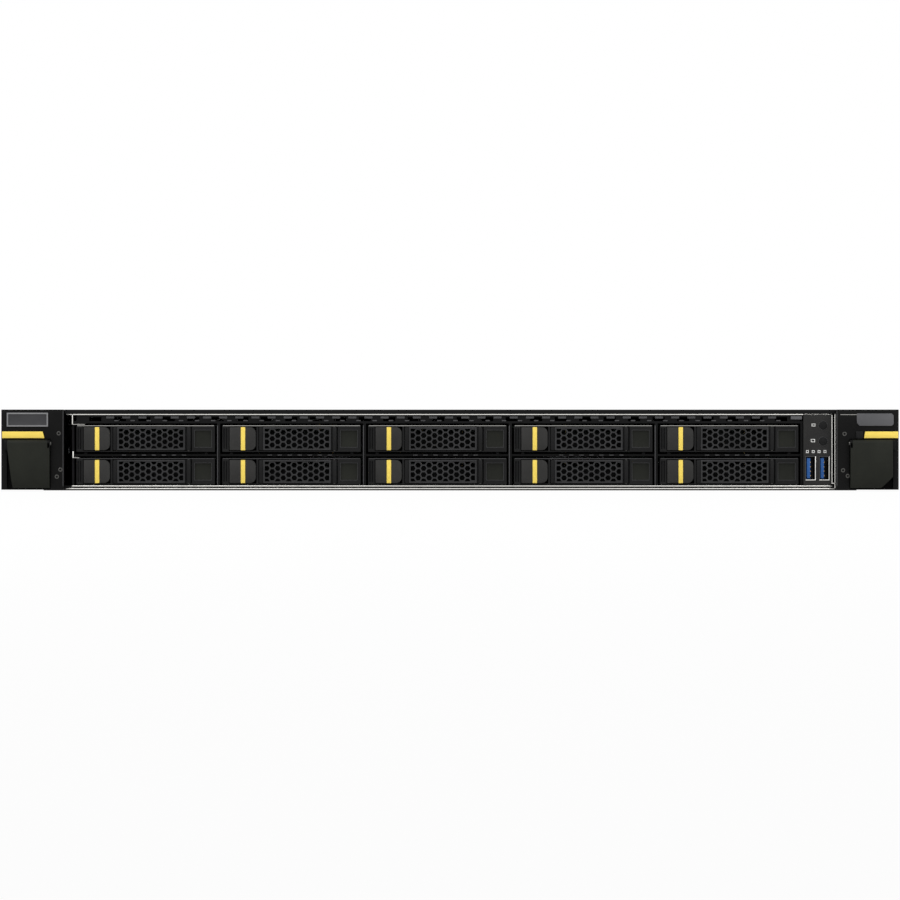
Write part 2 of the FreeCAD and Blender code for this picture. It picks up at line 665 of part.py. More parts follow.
def backplane():
    """Board behind the cage with one plug per drive and an air slot under each column."""
    x0 = FIRST_TRAY - BAY_CLEARANCE
    x1 = PANEL_LEFT - CAGE_SHEET
    start, end = BACKPLANE_START, BACKPLANE_START + BOARD
    board = block(x0, x1, start, end, SHEET, CAGE_ROOF)
    top = UPPER_ROW_Z - LEVER_LOW - FIT_GAP
    slots = []
    for column in range(TRAY_COLUMNS):
        x = FIRST_TRAY + column * TRAY_PITCH + AIR_SLOT_INSET
        slots.append(block(x, x + TRAY_WIDTH - 2 * AIR_SLOT_INSET, start - CUT_MARGIN, end + CUT_MARGIN,
                           top - AIR_SLOT_HEIGHT, top))
    plugs = []
    for x, z in tray_places():
        left = x + (TRAY_WIDTH - PLUG_WIDTH) / 2
        low = z + LEVER_LOW
        plugs.append(block(left, left + PLUG_WIDTH, PLUG_START, start, low, low + PLUG_HEIGHT - 1))
    return [joined([cut(board, slots)] + plugs)]


# ---------------------------------------------------------------- covers
def cover_sheets(y0, y1, flange_end):
    """Flat lid sheet and a flange inside each side wall, which ends short of the rear wall."""
    top = BODY_HEIGHT
    inner = HALF_BODY - SHEET - FIT_GAP
    low = top - SHEET - COVER_FLANGE
    flange = block(inner - SHEET, inner, y0, flange_end, low, top - SHEET)
    sheet = block(-HALF_BODY, HALF_BODY, y0, y1, top - SHEET, top)
    return [sheet, flange, mirrored(flange)]


def front_cover():
    """Fixed lid over the cage and fans, with a folded lip above the trays."""
    start = SHEET + LID_GAP
    front, t = -COVER_LIP_PROUD, COVER_LIP_PROUD
    top = BODY_HEIGHT
    sheets = cover_sheets(start, FRONT_COVER_END, FRONT_COVER_END)
    lip = [(front, top), (start, top), (start, top - SHEET), (front + t, top - SHEET)]
    lip += [(front + t, top - COVER_LIP), (front, top - COVER_LIP)]
    return [joined(sheets + [drawn_x(lip, -HALF_OPENING + FIT_GAP, HALF_OPENING - FIT_GAP)])]


def rear_cover():
    """Lift-off lid: its sheet, the flanges and the sunk pan welded under it, and the latch pin."""
    sheet, *flanges = cover_sheets(FRONT_COVER_END + COVER_SEAM, BODY_DEPTH, REAR_WALL - FIT_GAP)
    t = SHEET
    half = LATCH_WIDTH / 2 + FIT_GAP + t
    y0, y1 = LATCH_START - PAN_FRONT, LATCH_START + LATCH_LENGTH + PAN_BACK
    low = BODY_HEIGHT - PAN_DEPTH - t
    pan = block(-half, half, y0, y1, low, BODY_HEIGHT - t)
    hollow = block(-half + t, half - t, y0 + t, y1 - t, low + t, BODY_HEIGHT + CUT_MARGIN)
    pin = drawn_x(polygon(8, LATCH_PIN_RADIUS, LATCH_START, LATCH_PIN_Z), -half + t, half - t)
    return [sheet.cut(hollow), pan.cut(hollow), pin] + flanges


def cover_latch():
    """Lid latch: a flat lever with a rounded hinge end and a thinned finger end."""
    z = LATCH_PIN_Z
    r = LATCH_THICKNESS / 2
    half = LATCH_WIDTH / 2
    end = LATCH_START + LATCH_LENGTH
    thinned = end - LATCH_LENGTH / 4
    outline = [(LATCH_START, z - r), (thinned, z - r), (end, z), (end, z + r), (LATCH_START, z + r)]
    barrel = drawn_x(polygon(10, r, LATCH_START, z), -half, half)
    lever = joined([drawn_x(outline, -half, half), barrel])
    window = block(-half / 2, half / 2, end - 2 * LATCH_THICKNESS, end - LATCH_THICKNESS,
                   z - LATCH_THICKNESS, z + LATCH_THICKNESS)
    hole = drawn_x(bore(8, LATCH_PIN_RADIUS, LATCH_START, z), -half - CUT_MARGIN, half + CUT_MARGIN)
    return [cut(lever, [window, hole])]


# ---------------------------------------------------------------- fans
def fan_centres():
    first = -(FAN_COUNT - 1) * FAN_PITCH / 2
    return [first + k * FAN_PITCH for k in range(FAN_COUNT)]


def fan_frame(x):
    """Square fan housing with its bore, rear struts and motor shaft."""
    half = FAN_SIZE / 2
    z = FAN_MIDDLE_Z
    end = FAN_START + FAN_DEPTH
    housing = block(x - half, x + half, FAN_START, end, z - half, z + half)
    tunnel = drawn_y(polygon(FAN_SIDES, FAN_BORE_RADIUS, x, z), FAN_START - CUT_MARGIN, end + CUT_MARGIN)
    motor = drawn_y(polygon(8, FAN_HUB_RADIUS, x, z), ROTOR_BACK + CUT_MARGIN, end)
    struts = []
    for turn in (90, 210, 330):
        strut = block(x, x + FAN_BORE_RADIUS + FAN_RIM / 2, end - FAN_STRUT, end,
                      z - FAN_STRUT / 2, z + FAN_STRUT / 2)
        strut.rotate(V(x, 0, z), V(0, 1, 0), turn)
        struts.append(strut)
    shaft = drawn_y(polygon(8, FAN_SHAFT_RADIUS, x, z), ROTOR_FRONT + FAN_STRUT, ROTOR_BACK + CUT_MARGIN)
    return joined([housing.cut(tunnel), motor, shaft] + struts)


def fan_rotor(x):
    """Rotor: a hub with pitched blades, bored for the motor's shaft."""
    z = FAN_MIDDLE_Z
    hub = drawn_y(polygon(10, FAN_HUB_RADIUS, x, z), ROTOR_FRONT, ROTOR_BACK)
    reach = FAN_BORE_RADIUS * math.cos(math.pi / FAN_SIDES) - FAN_TIP_GAP
    middle = (ROTOR_FRONT + ROTOR_BACK) / 2
    chord = (ROTOR_BACK - ROTOR_FRONT) * math.cos(math.radians(BLADE_ANGLE))
    tip = math.sqrt(reach ** 2 - (chord / 2) ** 2)
    root = FAN_HUB_RADIUS * math.cos(math.pi / 10) - BLADE_THICKNESS
    t = BLADE_THICKNESS / 2
    blades = []
    for k in range(FAN_BLADES):
        blade = block(x + root, x + tip, middle - chord / 2, middle + chord / 2, z - t, z + t)
        blade.rotate(V(x, middle, z), V(1, 0, 0), BLADE_ANGLE)
        blade.rotate(V(x, middle, z), V(0, 1, 0), 360.0 * k / FAN_BLADES)
        blades.append(blade)
    hole = drawn_y(bore(8, FAN_SHAFT_RADIUS, x, z), ROTOR_FRONT + FAN_SHAFT_RADIUS, ROTOR_BACK + CUT_MARGIN)
    return [joined([hub] + blades).cut(hole)]


# ---------------------------------------------------------------- boards
def heatsink_lefts():
    """Left sides of the two heatsinks, with memory between and outside them."""
    inner = MEMORY_PER_SIDE * MEMORY_PITCH + MEMORY_TO_HEATSINK
    return [-inner - HEATSINK_WIDTH, inner]


def memory_places():
    """Left face of each memory module: a bank outside each heatsink and two between them."""
    first = (MEMORY_PITCH - MEMORY_THICKNESS) / 2
    inner = [first + k * MEMORY_PITCH for k in range(MEMORY_PER_SIDE)]
    outer = heatsink_lefts()[1] + HEATSINK_WIDTH + MEMORY_TO_HEATSINK
    right = inner + [outer + k * MEMORY_PITCH for k in range(MEMORY_PER_SIDE)]
    return right + [-x - MEMORY_THICKNESS for x in right]


def board_outline():
    """L-shaped outline that leaves the corner of the power supplies free."""
    left = -HALF_BODY + SHEET + BOARD_SIDE_MARGIN
    beside = PARTITION - BOARD_REAR_GAP
    step = SUPPLY_START - 2 * BOARD_SIDE_MARGIN
    outline = [(left, MAINBOARD_START), (-left, MAINBOARD_START), (-left, step)]
    return outline + [(beside, step), (beside, MAINBOARD_END), (left, MAINBOARD_END)]


def chips():
    """Larger parts behind the memory as (x, y, width, length, height)."""
    first = -HALF_BODY + BODY_WIDTH / 6
    row = MEMORY_START + MEMORY_LENGTH + 2 * CHIP_SIZE
    places = [(first, row, CHIP_SIZE, CHIP_SIZE, CHIP_HEIGHT)]
    places.append((first + 3 * CHIP_SIZE, row + 2 * CHIP_SIZE, CHIP_SIZE, CHIP_SIZE, CHIP_HEIGHT))
    places.append((first + 6 * CHIP_SIZE, row + 4 * CHIP_SIZE, CHIP_SIZE, CHIP_SIZE, 2 * CHIP_HEIGHT))
    places.append((PAIR_LEFT + CHIP_SIZE, row, 2 * CHIP_SIZE, CHIP_SIZE / 2, 3 * CHIP_HEIGHT))
    return places


def mainboard():
    """Board with its processor and memory sockets and a few chips."""
    top = MAINBOARD_TOP
    pieces = [drawn_z(board_outline(), MAINBOARD_LOW, top)]
    for x in heatsink_lefts():
        pieces.append(block(x + SOCKET_INSET, x + HEATSINK_WIDTH - SOCKET_INSET,
                            HEATSINK_START + SOCKET_END_INSET,
                            HEATSINK_START + HEATSINK_LENGTH - SOCKET_END_INSET, top, top + SOCKET_HEIGHT))
    side = MEMORY_THICKNESS / 2
    for x in memory_places():
        pieces.append(block(x - side, x + MEMORY_THICKNESS + side, MEMORY_START - MEMORY_SOCKET_MARGIN,
                            MEMORY_START + MEMORY_LENGTH + MEMORY_SOCKET_MARGIN,
                            top, top + MEMORY_SOCKET_HEIGHT))
    for x, y, wide, deep, high in chips():
        pieces.append(block(x, x + wide, y, y + deep, top, top + high))
    return pieces


def cpu_heatsinks():
    """Two finned heatsinks, each an extruded comb."""
    low = MAINBOARD_TOP + SOCKET_HEIGHT
    base = low + HEATSINK_BASE
    pitch = HEATSINK_WIDTH / (HEATSINK_FINS - 0.5)
    fin = pitch / 2
    sinks = []
    for left in heatsink_lefts():
        outline = [(left, low)]
        for k in range(HEATSINK_FINS):
            x = left + k * pitch
            if k:
                outline.append((x, base))
            outline += [(x, HEATSINK_TOP), (x + fin, HEATSINK_TOP), (x + fin, base)]
        outline[-1] = (left + HEATSINK_WIDTH, low)
        sinks.append(drawn_y(outline, HEATSINK_START, HEATSINK_START + HEATSINK_LENGTH))
    return sinks


def memory_modules():
    """Upright memory modules in their sockets."""
    low = MAINBOARD_TOP + MEMORY_SOCKET_HEIGHT
    return [block(x, x + MEMORY_THICKNESS, MEMORY_START, MEMORY_START + MEMORY_LENGTH, low, MEMORY_TOP)
            for x in memory_places()]


# ---------------------------------------------------------------- rear connectors
def rear_jack(left, low):
    """Network jack with its open mouth."""
    front = BODY_DEPTH + CONNECTOR_PROUD
    shell = block(left, left + JACK_WIDTH, front - JACK_DEPTH, front, low, low + JACK_HEIGHT)
    side = (JACK_WIDTH - JACK_MOUTH_WIDTH) / 2
    mouth = block(left + side, left + side + JACK_MOUTH_WIDTH, front - JACK_MOUTH_DEPTH,
                  front + CUT_MARGIN, low + JACK_SILL, low + JACK_SILL + JACK_MOUTH_HEIGHT)
    return shell.cut(mouth)


def rear_usb(left, low):
    """Flat USB receptacle with its tongue."""
    front = BODY_DEPTH + CONNECTOR_PROUD
    back = front - USB_DEPTH
    right = left + USB_HEIGHT
    high = low + USB_WIDTH
    shell = block(left, right, back, front, low, high)
    mouth = block(left + USB_WALL, right - USB_WALL, back + USB_BACK, front + CUT_MARGIN,
                  low + USB_WALL, high - USB_WALL)
    top = high - USB_WALL - USB_TONGUE_GAP
    tongue = block(left + 1, right - 1, back + USB_BACK, front - USB_PROUD, top - USB_TONGUE, top)
    return joined([shell.cut(mouth), tongue])


def rear_display(left, width, low, height):
    """Fifteen-pin display connector: flange, D-shaped collar and its two posts."""
    cx, cz = left + width / 2, low + height / 2
    face = BODY_DEPTH + SEAT_GAP
    front = BODY_DEPTH + DISPLAY_REACH
    flange = block(left, left + width, REAR_WALL - height / 2, face, low, low + height)
    top, bottom, tall = 0.28 * width, 0.23 * width, 0.32 * height
    collar = [(cx - top, cz + tall), (cx + top, cz + tall), (cx + bottom, cz - tall), (cx - bottom, cz - tall)]
    shell = drawn_y(collar, face, front)
    well = [(cx + (x - cx) * 0.92, cz + (z - cz) * 0.88) for x, z in collar]
    hollow = drawn_y(well, face, front + CUT_MARGIN)
    posts = [drawn_y(polygon(6, SCREW_RADIUS, cx + side * 0.4 * width, cz), face, front - USB_WALL)
             for side in (-1, 1)]
    return joined([flange, shell.cut(hollow)] + posts)


def slot_blank(left):
    """Expansion slot blank with vent slots and a folded stiffening edge."""
    low, high = BLANK_LOW + FIT_GAP, BLANK_LOW + BLANK_HEIGHT - FIT_GAP
    x0, x1 = left + FIT_GAP, left + BLANK_LENGTH - FIT_GAP
    fold = REAR_WALL - BLANK_LIP
    outline = [(REAR_WALL, low), (BODY_DEPTH, low), (BODY_DEPTH, high), (fold, high)]
    outline += [(fold, high - SHEET), (REAR_WALL, high - SHEET)]
    pitch = (x1 - x0) / BLANK_VENTS
    vents = [block(x0 + (k + 0.2) * pitch, x0 + (k + 0.8) * pitch, REAR_WALL - CUT_MARGIN,
                   BODY_DEPTH + CUT_MARGIN, low + 4 * SHEET, high - 4 * SHEET) for k in range(BLANK_VENTS)]
    return cut(drawn_x(outline, x0, x1), vents)


def rear_io():
    """Connectors on the mainboard's rear edge and the blanks above them."""
    places = connector_places()
    pieces = [rear_jack(left, low) for left, width, low, height in places[:JACK_COUNT]]
    pieces += [rear_usb(left, low) for left, width, low, height in places[JACK_COUNT:-1]]
    pieces.append(rear_display(*places[-1]))
    return pieces + [slot_blank(left) for left in blank_places()]


# ---------------------------------------------------------------- power supplies
def inlet_outline(left):
    """Mains inlet with its two upper corners cut off, and the middle of it."""
    x0 = left + SUPPLY_WIDTH - SUPPLY_MARGIN - INLET_WIDTH
    x1 = x0 + INLET_WIDTH
    low, high = SUPPLY_MIDDLE - INLET_HEIGHT / 2, SUPPLY_MIDDLE + INLET_HEIGHT / 2
    bevel = INLET_BEVEL
    outline = [(x0, low), (x1, low), (x1, high - bevel), (x1 - bevel, high)]
    outline += [(x0 + bevel, high), (x0, high - bevel)]
    return outline, (x0 + x1) / 2


def power_supply(left):
    """Power supply case with its fan well, mains inlet and pull handle."""
    middle = SUPPLY_MIDDLE
    back = BODY_DEPTH
    case = block(left, left + SUPPLY_WIDTH, SUPPLY_START, back, SUPPLY_LOW, SUPPLY_TOP)
    fan_x = left + HANDLE_MARGIN + HANDLE_THICKNESS / 2 + SUPPLY_FAN_RADIUS
    outline, centre = inlet_outline(left)
    well = drawn_y(polygon(12, SUPPLY_FAN_RADIUS, fan_x, middle), back - SUPPLY_FAN_DEPTH, back + CUT_MARGIN)
    socket = drawn_y(outline, back - INLET_DEPTH, back + CUT_MARGIN)
    pieces = [cut(case, [well, socket])]
    rise = INLET_HEIGHT / 8
    for side, z in ((-1, middle - rise), (0, middle + rise), (1, middle - rise)):
        x = centre + side * INLET_WIDTH * 0.28
        pieces.append(block(x - SHEET, x + SHEET, back - INLET_DEPTH, back - 2 * SHEET, z - rise, z + rise))
    pieces.append(drawn_y(polygon(8, SUPPLY_FAN_HUB, fan_x, middle), back - SUPPLY_FAN_DEPTH, back))
    for turn in (45, 135, 225, 315):
        spoke = block(fan_x, fan_x + SUPPLY_FAN_RADIUS + FAN_RIM / 2, back - SHEET, back,
                      middle - SHEET, middle + SHEET)
        spoke.rotate(V(fan_x, 0, middle), V(0, 1, 0), turn)
        pieces.append(spoke)
    return [joined(pieces), supply_handle(left + HANDLE_MARGIN)]


def supply_handle(x0):
    """Bent pull handle across the fan, with room for two fingers."""
    x1 = x0 + 2 * SUPPLY_FAN_RADIUS - SHEET
    y0, y1 = BODY_DEPTH, BODY_DEPTH + HANDLE_REACH
    t = HANDLE_THICKNESS
    slope = HANDLE_SLOPE
    inner = slope + t * math.tan(math.radians(22.5))
    outline = [(x0, y0), (x0, y1 - slope), (x0 + slope, y1), (x1 - slope, y1), (x1, y1 - slope), (x1, y0)]
    outline += [(x1 - t, y0), (x1 - t, y1 - inner), (x1 - inner, y1 - t)]
    outline += [(x0 + inner, y1 - t), (x0 + t, y1 - inner), (x0 + t, y0)]
    return drawn_z(outline, SUPPLY_MIDDLE - HANDLE_HEIGHT / 2, SUPPLY_MIDDLE + HANDLE_HEIGHT / 2)


def supply_tab(left):
    """Thumb tab that releases a power supply, with a bevelled tip."""
    x0 = left + TAB_OFFSET
    x1 = x0 + TAB_WIDTH
    y0 = BODY_DEPTH + SEAT_GAP
    y1 = y0 + TAB_REACH
    bevel = TAB_WIDTH / 2
    outline = [(x0, y0), (x1, y0), (x1, y1 - bevel), (x1 - bevel, y1), (x0, y1)]
    low = SUPPLY_LOW + TAB_LOW
    return [drawn_z(outline, low, low + TAB_HEIGHT)]


# ---------------------------------------------------------------- control panel
def panel_buttons():
    """Centres of the power and locator buttons."""
    x = (PANEL_X + PANEL_RIGHT) / 2 + BUTTON_OFFSET
    return [(x, PANEL_HIGH - POWER_BUTTON_DROP), (x, PANEL_HIGH - LOCATOR_BUTTON_DROP)]


def usb_lefts():
    first = PANEL_X + PANEL_WALL + USB_CLEARANCE
    return [first, first + USB_PITCH]


def control_panel():
    """Panel moulding with button bores, USB windows, and walls running back on three sides."""
    x0, x1 = PANEL_X, PANEL_RIGHT
    front, wall = -PANEL_PROUD, PANEL_WALL
    behind = front + PANEL_THICKNESS
    pieces = [block(x0, x1, front, behind, PANEL_LOW, PANEL_HIGH)]
    pieces.append(block(x0, x0 + wall, behind, PANEL_LENGTH, PANEL_LOW, PANEL_HIGH))
    pieces.append(block(x0, x1, behind, PANEL_LENGTH, PANEL_HIGH - wall, PANEL_HIGH))
    pieces.append(block(x0, x1, behind, PANEL_LENGTH, PANEL_LOW, PANEL_LOW + wall))
    carrier = behind + FIT_GAP + COLLAR_THICKNESS + PANEL_BUTTON_TRAVEL + SWITCH_DEPTH
    pieces.append(block(x0, x1, carrier, carrier + BOARD, PANEL_LOW, PANEL_HIGH))
    gap = USB_CLEARANCE / 2
    windows = []
    for left in usb_lefts():
        windows.append(block(left - gap, left + USB_WIDTH + gap, front - CUT_MARGIN,
                             carrier + BOARD + CUT_MARGIN, USB_BOTTOM - gap, USB_BOTTOM + USB_HEIGHT + gap))
    for x, z in panel_buttons():
        windows.append(drawn_y(bore(12, BUTTON_RADIUS, x, z), front - CUT_MARGIN, behind + CUT_MARGIN))
    return [cut(joined(pieces), windows)]


def panel_button(index):
    """Push button with a collar that keeps it behind the panel."""
    x, z = panel_buttons()[index]
    behind = -PANEL_PROUD + PANEL_THICKNESS + FIT_GAP
    stem = drawn_y(polygon(12, BUTTON_RADIUS, x, z), -PANEL_BUTTON_PROUD, behind)
    collar = drawn_y(polygon(6, BUTTON_RADIUS + BUTTON_COLLAR, x, z), behind, behind + COLLAR_THICKNESS)
    return [joined([stem, collar])]


def usb_ports():
    """Two upright USB receptacles: a thin shell and a tongue nearer the left side."""
    low, high = USB_BOTTOM, USB_BOTTOM + USB_HEIGHT
    wall = USB_WALL
    floor = USB_DEPTH - USB_BACK
    pieces = []
    for left in usb_lefts():
        right = left + USB_WIDTH
        shell = block(left, right, -USB_PROUD, USB_DEPTH, low, high)
        mouth = block(left + wall, right - wall, -USB_PROUD - CUT_MARGIN, floor, low + wall, high - wall)
        tongue_left = left + wall + USB_TONGUE_GAP
        tongue = block(tongue_left, tongue_left + USB_TONGUE, 0, floor, low + 1, high - 1)
        pieces += [shell.cut(mouth), tongue]
    return pieces


# ---------------------------------------------------------------- rack ears
def obround(x, z, reach, radius):
    """Tool for a slot along X through the rack flange."""
    y = RACK_PLANE - EAR_PLATE - CUT_MARGIN
    edges = []
    for side in (-1, 1):
        ends = [V(x + side * reach, y, z - side * radius), V(x + side * reach, y, z + side * radius)]
        edges.append(Part.Arc(ends[0], V(x + side * (reach + radius), y, z), ends[1]).toShape())
        edges.append(Part.LineSegment(ends[1], V(x - side * reach, y, z + side * radius)).toShape())
    return Part.Face(Part.Wire(edges)).extrude(V(0, EAR_PLATE + 2 * CUT_MARGIN, 0))


def ear_bracket():
    """Left rack bracket: an arm on the chassis side and a flange with two slots and a hole."""
    outer = HALF_BODY + EAR_PLATE
    front, end = RACK_PLANE - EAR_PLATE, RACK_PLANE + EAR_ARM_LENGTH
    outline = [(-HALF_RACK, front), (-HALF_BODY, front), (-HALF_BODY, end), (-outer, end)]
    outline += [(-outer, RACK_PLANE), (-HALF_RACK, RACK_PLANE)]
    plate = drawn_z(outline, SHEET, BODY_HEIGHT - SHEET)
    x, middle = -EAR_HOLE_SPAN / 2, BODY_HEIGHT / 2
    reach = EAR_SLOT_LENGTH / 2 - EAR_SLOT_RADIUS
    holes = [obround(x, middle + side * EAR_HOLE_RISE / 2, reach, EAR_SLOT_RADIUS) for side in (-1, 1)]
    holes.append(drawn_y(bore(12, CAPTIVE_BORE, x, middle), front - CUT_MARGIN, RACK_PLANE + CUT_MARGIN))
    return cut(plate, holes)


def ear_shell():
    """Left ear moulding: a hollow front, open at the back, with the window for its flip lever."""
    front, back = -EAR_FRONT, RACK_PLANE - EAR_PLATE
    t = EAR_WALL
    step = -HALF_BODY - EAR_PLATE - LID_GAP
    outline = [(-HALF_RACK, front + EAR_CORNER), (-HALF_RACK + EAR_CORNER, front), (-HALF_OPENING, front)]
    outline += [(-HALF_OPENING, -LID_GAP), (step, -LID_GAP), (step, back), (-HALF_RACK, back)]
    body = drawn_z(outline, EAR_FLOOR_GAP, BODY_HEIGHT)
    hollow = block(-HALF_RACK + t, step - t, front + t, back + CUT_MARGIN, EAR_FLOOR_GAP + t, BODY_HEIGHT - t)
    left, right = -FLIP_OUTER, -FLIP_OUTER + FLIP_WIDTH
    window = block(left - FIT_GAP, right + FIT_GAP, front - CUT_MARGIN, front + FLIP_PROUD + CHEEK,
                   EAR_FLOOR_GAP - CUT_MARGIN, FLIP_TOP + FIT_GAP)
    shell = joined([body.cut(hollow).cut(window)] + ear_cheeks(left, right))
    return shell.cut(drawn_x(bore(8, FLIP_PIN_RADIUS, FLIP_PIN_Y, FLIP_PIN_Z), left - CHEEK, right + CHEEK))


def ear_cheeks(left, right):
    """Two lugs beside the flip lever that hold its pin."""
    front = FLIP_PIN_Y - FLIP_HINGE
    back = -EAR_FRONT + FIT_GAP
    outline = [(front, FLIP_PIN_Z - FLIP_HINGE), (front, FLIP_TOP), (back, FLIP_TOP)]
    outline.append((back, FLIP_PIN_Z - 2 * FLIP_HINGE))
    return [drawn_x(outline, left - FIT_GAP - CHEEK, left - FIT_GAP),
            drawn_x(outline, right + FIT_GAP, right + FIT_GAP + CHEEK)]


def ear_trims(slanted):
    """Raised stripe and blank name plate of the left ear; the right one's plate is slanted."""
    front = -EAR_FRONT
    x0 = -HALF_RACK + TRIM_INSET
    x1 = x0 + EAR_REACH
    low, high = STRIPE_LOW, STRIPE_LOW + STRIPE_HEIGHT
    stripe = [(x0, low), (x1, low), (x1 - STRIPE_SLANT, high), (x0, high)]
    x0 += TRIM_INSET
    x1 += TRIM_INSET
    low, high = PLATE_LOW, PLATE_LOW + PLATE_HEIGHT
    plate = [(x0, low), (x1, low), (x1, high), (x0, high)]
    if slanted:
        s = STRIPE_SLANT
        plate = [(x0, low), (x1 - 2 * s, low), (x1 - s, (low + high) / 2), (x1, high), (x0 + s, high)]
        plate.append((x0, high - 2 * s))
    return [drawn_y(stripe, front - TRIM_PROUD, front), drawn_y(plate, front - TRIM_PROUD + LID_GAP, front)]


def flip_lever():
    """Left flip lever: a hollow tapered moulding on two stub pins, over the captive rack screw."""
    x0, x1 = -FLIP_OUTER, -FLIP_OUTER + FLIP_WIDTH
    y, z, r, w = FLIP_PIN_Y, FLIP_PIN_Z, FLIP_HINGE, FLIP_WALL
    front, back = y - r, -EAR_FRONT + EAR_WALL
    low = FLIP_BOTTOM
    side = [(front, z), (front, low + 2 * FLIP_PROUD), (front + FLIP_PROUD - SHEET, low), (back, low)]
    side += [(back, z - 2 * r), (y + r, z - r / 2), (y + r, z)]
    body = joined([drawn_x(side, x0, x1), drawn_x(polygon(12, r, y, z), x0, x1)])
    corner = [(x0 - 1, z - FLIP_PROUD), (x0 + FLIP_TAPER, low - 1), (x0 - 1, low - 1)]
    taper = drawn_y(corner, front - CUT_MARGIN, back + CUT_MARGIN)
    hollow = block(x0 + FLIP_TAPER + w, x1 - w, front + 1.5 * w, back + CUT_MARGIN, low + 2 * w, z - 2 * r)
    pins = drawn_x(polygon(8, FLIP_PIN_RADIUS, y, z), x0 - CHEEK + FIT_GAP, x1 + CHEEK - FIT_GAP)
    return joined([cut(body, [taper, hollow]), pins])


# ---------------------------------------------------------------- fasteners
def arm_screw(side, y):
    """Low screw head on an arm of a rack bracket."""
    face = side * (HALF_BODY + EAR_PLATE)
    x0, x1 = sorted((face, face + side * SCREW_HEIGHT))
    return drawn_x(polygon(10, SCREW_RADIUS, y, BODY_HEIGHT / 2), x0, x1)


def captive_screw(x):
    """Captive rack screw in the middle hole of the flange, behind the flip lever."""
    z = BODY_HEIGHT / 2
    back = RACK_PLANE - EAR_PLATE
    collar = back - CAPTIVE_COLLAR_THICKNESS
    head = drawn_y(polygon(6, EAR_SLOT_RADIUS, x, z), back - CAPTIVE_HEAD, collar)
    ring = drawn_y(polygon(10, CAPTIVE_COLLAR, x, z), collar, back)
    shank = drawn_y(polygon(12, CAPTIVE_BORE, x, z), back, RACK_PLANE + CAPTIVE_REACH)
    return joined([head, ring, shank])


def screws():
    """Screws of the bracket arms and the captive rack screws."""
    heads = []
    for side in (-1, 1):
        first = RACK_PLANE + SCREW_SETBACK
        heads += [arm_screw(side, y) for y in (first, first + SCREW_SPACING)]
        heads.append(captive_screw(side * EAR_HOLE_SPAN / 2))
    return heads


# ---------------------------------------------------------------- all pieces
def build():
    os.makedirs("parts", exist_ok=True)
    for number, (x, z) in enumerate(tray_places(), 1):
        save("tray_%d" % number, tray(x, z))
        save("tray_lever_%d" % number, tray_lever(x, z))
        save("tray_latch_%d" % number, tray_latch(x, z))
    save("chassis_base", chassis_base())
    save("drive_cage", drive_cage())
    save("backplane", backplane())
    save("front_cover", front_cover())
    save("rear_cover", rear_cover())
    save("cover_latch", cover_latch())
    save("fan_frames", [fan_frame(x) for x in fan_centres()])
    for number, x in enumerate(fan_centres(), 1):
        save("fan_rotor_%d" % number, fan_rotor(x))
    save("mainboard", mainboard())
    save("cpu_heatsinks", cpu_heatsinks())
    save("memory_modules", memory_modules())
    save("rear_io", rear_io())
    for number in (1, 2):
        left = supply_left(number - 1)
        save("power_supply_%d" % number, power_supply(left))
        save("power_supply_tab_%d" % number, supply_tab(left))
    save("control_panel", control_panel())
    save("power_button", panel_button(0))
    save("locator_button", panel_button(1))
    save("usb_ports", usb_ports())
    save("ear_brackets", [ear_bracket(), mirrored(ear_bracket())])
    right_ear = [mirrored(piece) for piece in [ear_shell()] + ear_trims(slanted=True)]
    save("ear_housings", [ear_shell()] + ear_trims(slanted=False) + right_ear)
    save("ear_latch_left", [flip_lever()])
    save("ear_latch_right", [mirrored(flip_lever())])
    save("screws", screws())


build()
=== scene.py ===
"""Looks of a 1U rack server with ten front drive trays, laid out as an add-on.

The frame is that of the CAD model: +Z is up and the trays face -Y.
"""
import json
import math
from collections import namedtuple
import bmesh
import bpy
from mathutils import Matrix, Vector

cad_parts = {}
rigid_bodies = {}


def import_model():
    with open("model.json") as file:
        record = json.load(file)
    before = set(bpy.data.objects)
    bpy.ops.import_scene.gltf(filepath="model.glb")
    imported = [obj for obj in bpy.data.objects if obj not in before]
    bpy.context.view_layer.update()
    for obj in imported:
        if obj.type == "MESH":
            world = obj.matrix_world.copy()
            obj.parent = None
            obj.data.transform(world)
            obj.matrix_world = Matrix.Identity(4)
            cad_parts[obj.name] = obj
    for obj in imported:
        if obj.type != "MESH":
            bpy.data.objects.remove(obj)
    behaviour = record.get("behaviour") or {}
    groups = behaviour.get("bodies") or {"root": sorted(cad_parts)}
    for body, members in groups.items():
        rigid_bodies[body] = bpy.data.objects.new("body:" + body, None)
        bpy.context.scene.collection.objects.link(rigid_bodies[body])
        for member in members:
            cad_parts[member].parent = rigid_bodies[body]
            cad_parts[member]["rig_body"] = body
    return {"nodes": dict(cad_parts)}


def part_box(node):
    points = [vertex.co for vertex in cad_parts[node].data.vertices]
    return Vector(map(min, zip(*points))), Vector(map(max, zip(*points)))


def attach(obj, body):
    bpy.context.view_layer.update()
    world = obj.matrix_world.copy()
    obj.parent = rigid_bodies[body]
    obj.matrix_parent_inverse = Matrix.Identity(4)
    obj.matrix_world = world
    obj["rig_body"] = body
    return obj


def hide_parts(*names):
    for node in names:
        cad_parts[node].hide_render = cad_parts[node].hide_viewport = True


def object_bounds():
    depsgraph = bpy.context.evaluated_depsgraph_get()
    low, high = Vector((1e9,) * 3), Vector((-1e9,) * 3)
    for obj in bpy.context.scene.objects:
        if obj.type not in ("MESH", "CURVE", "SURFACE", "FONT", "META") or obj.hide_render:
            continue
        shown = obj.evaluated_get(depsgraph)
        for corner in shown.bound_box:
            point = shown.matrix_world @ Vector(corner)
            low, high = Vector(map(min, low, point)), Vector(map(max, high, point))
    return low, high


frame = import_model()
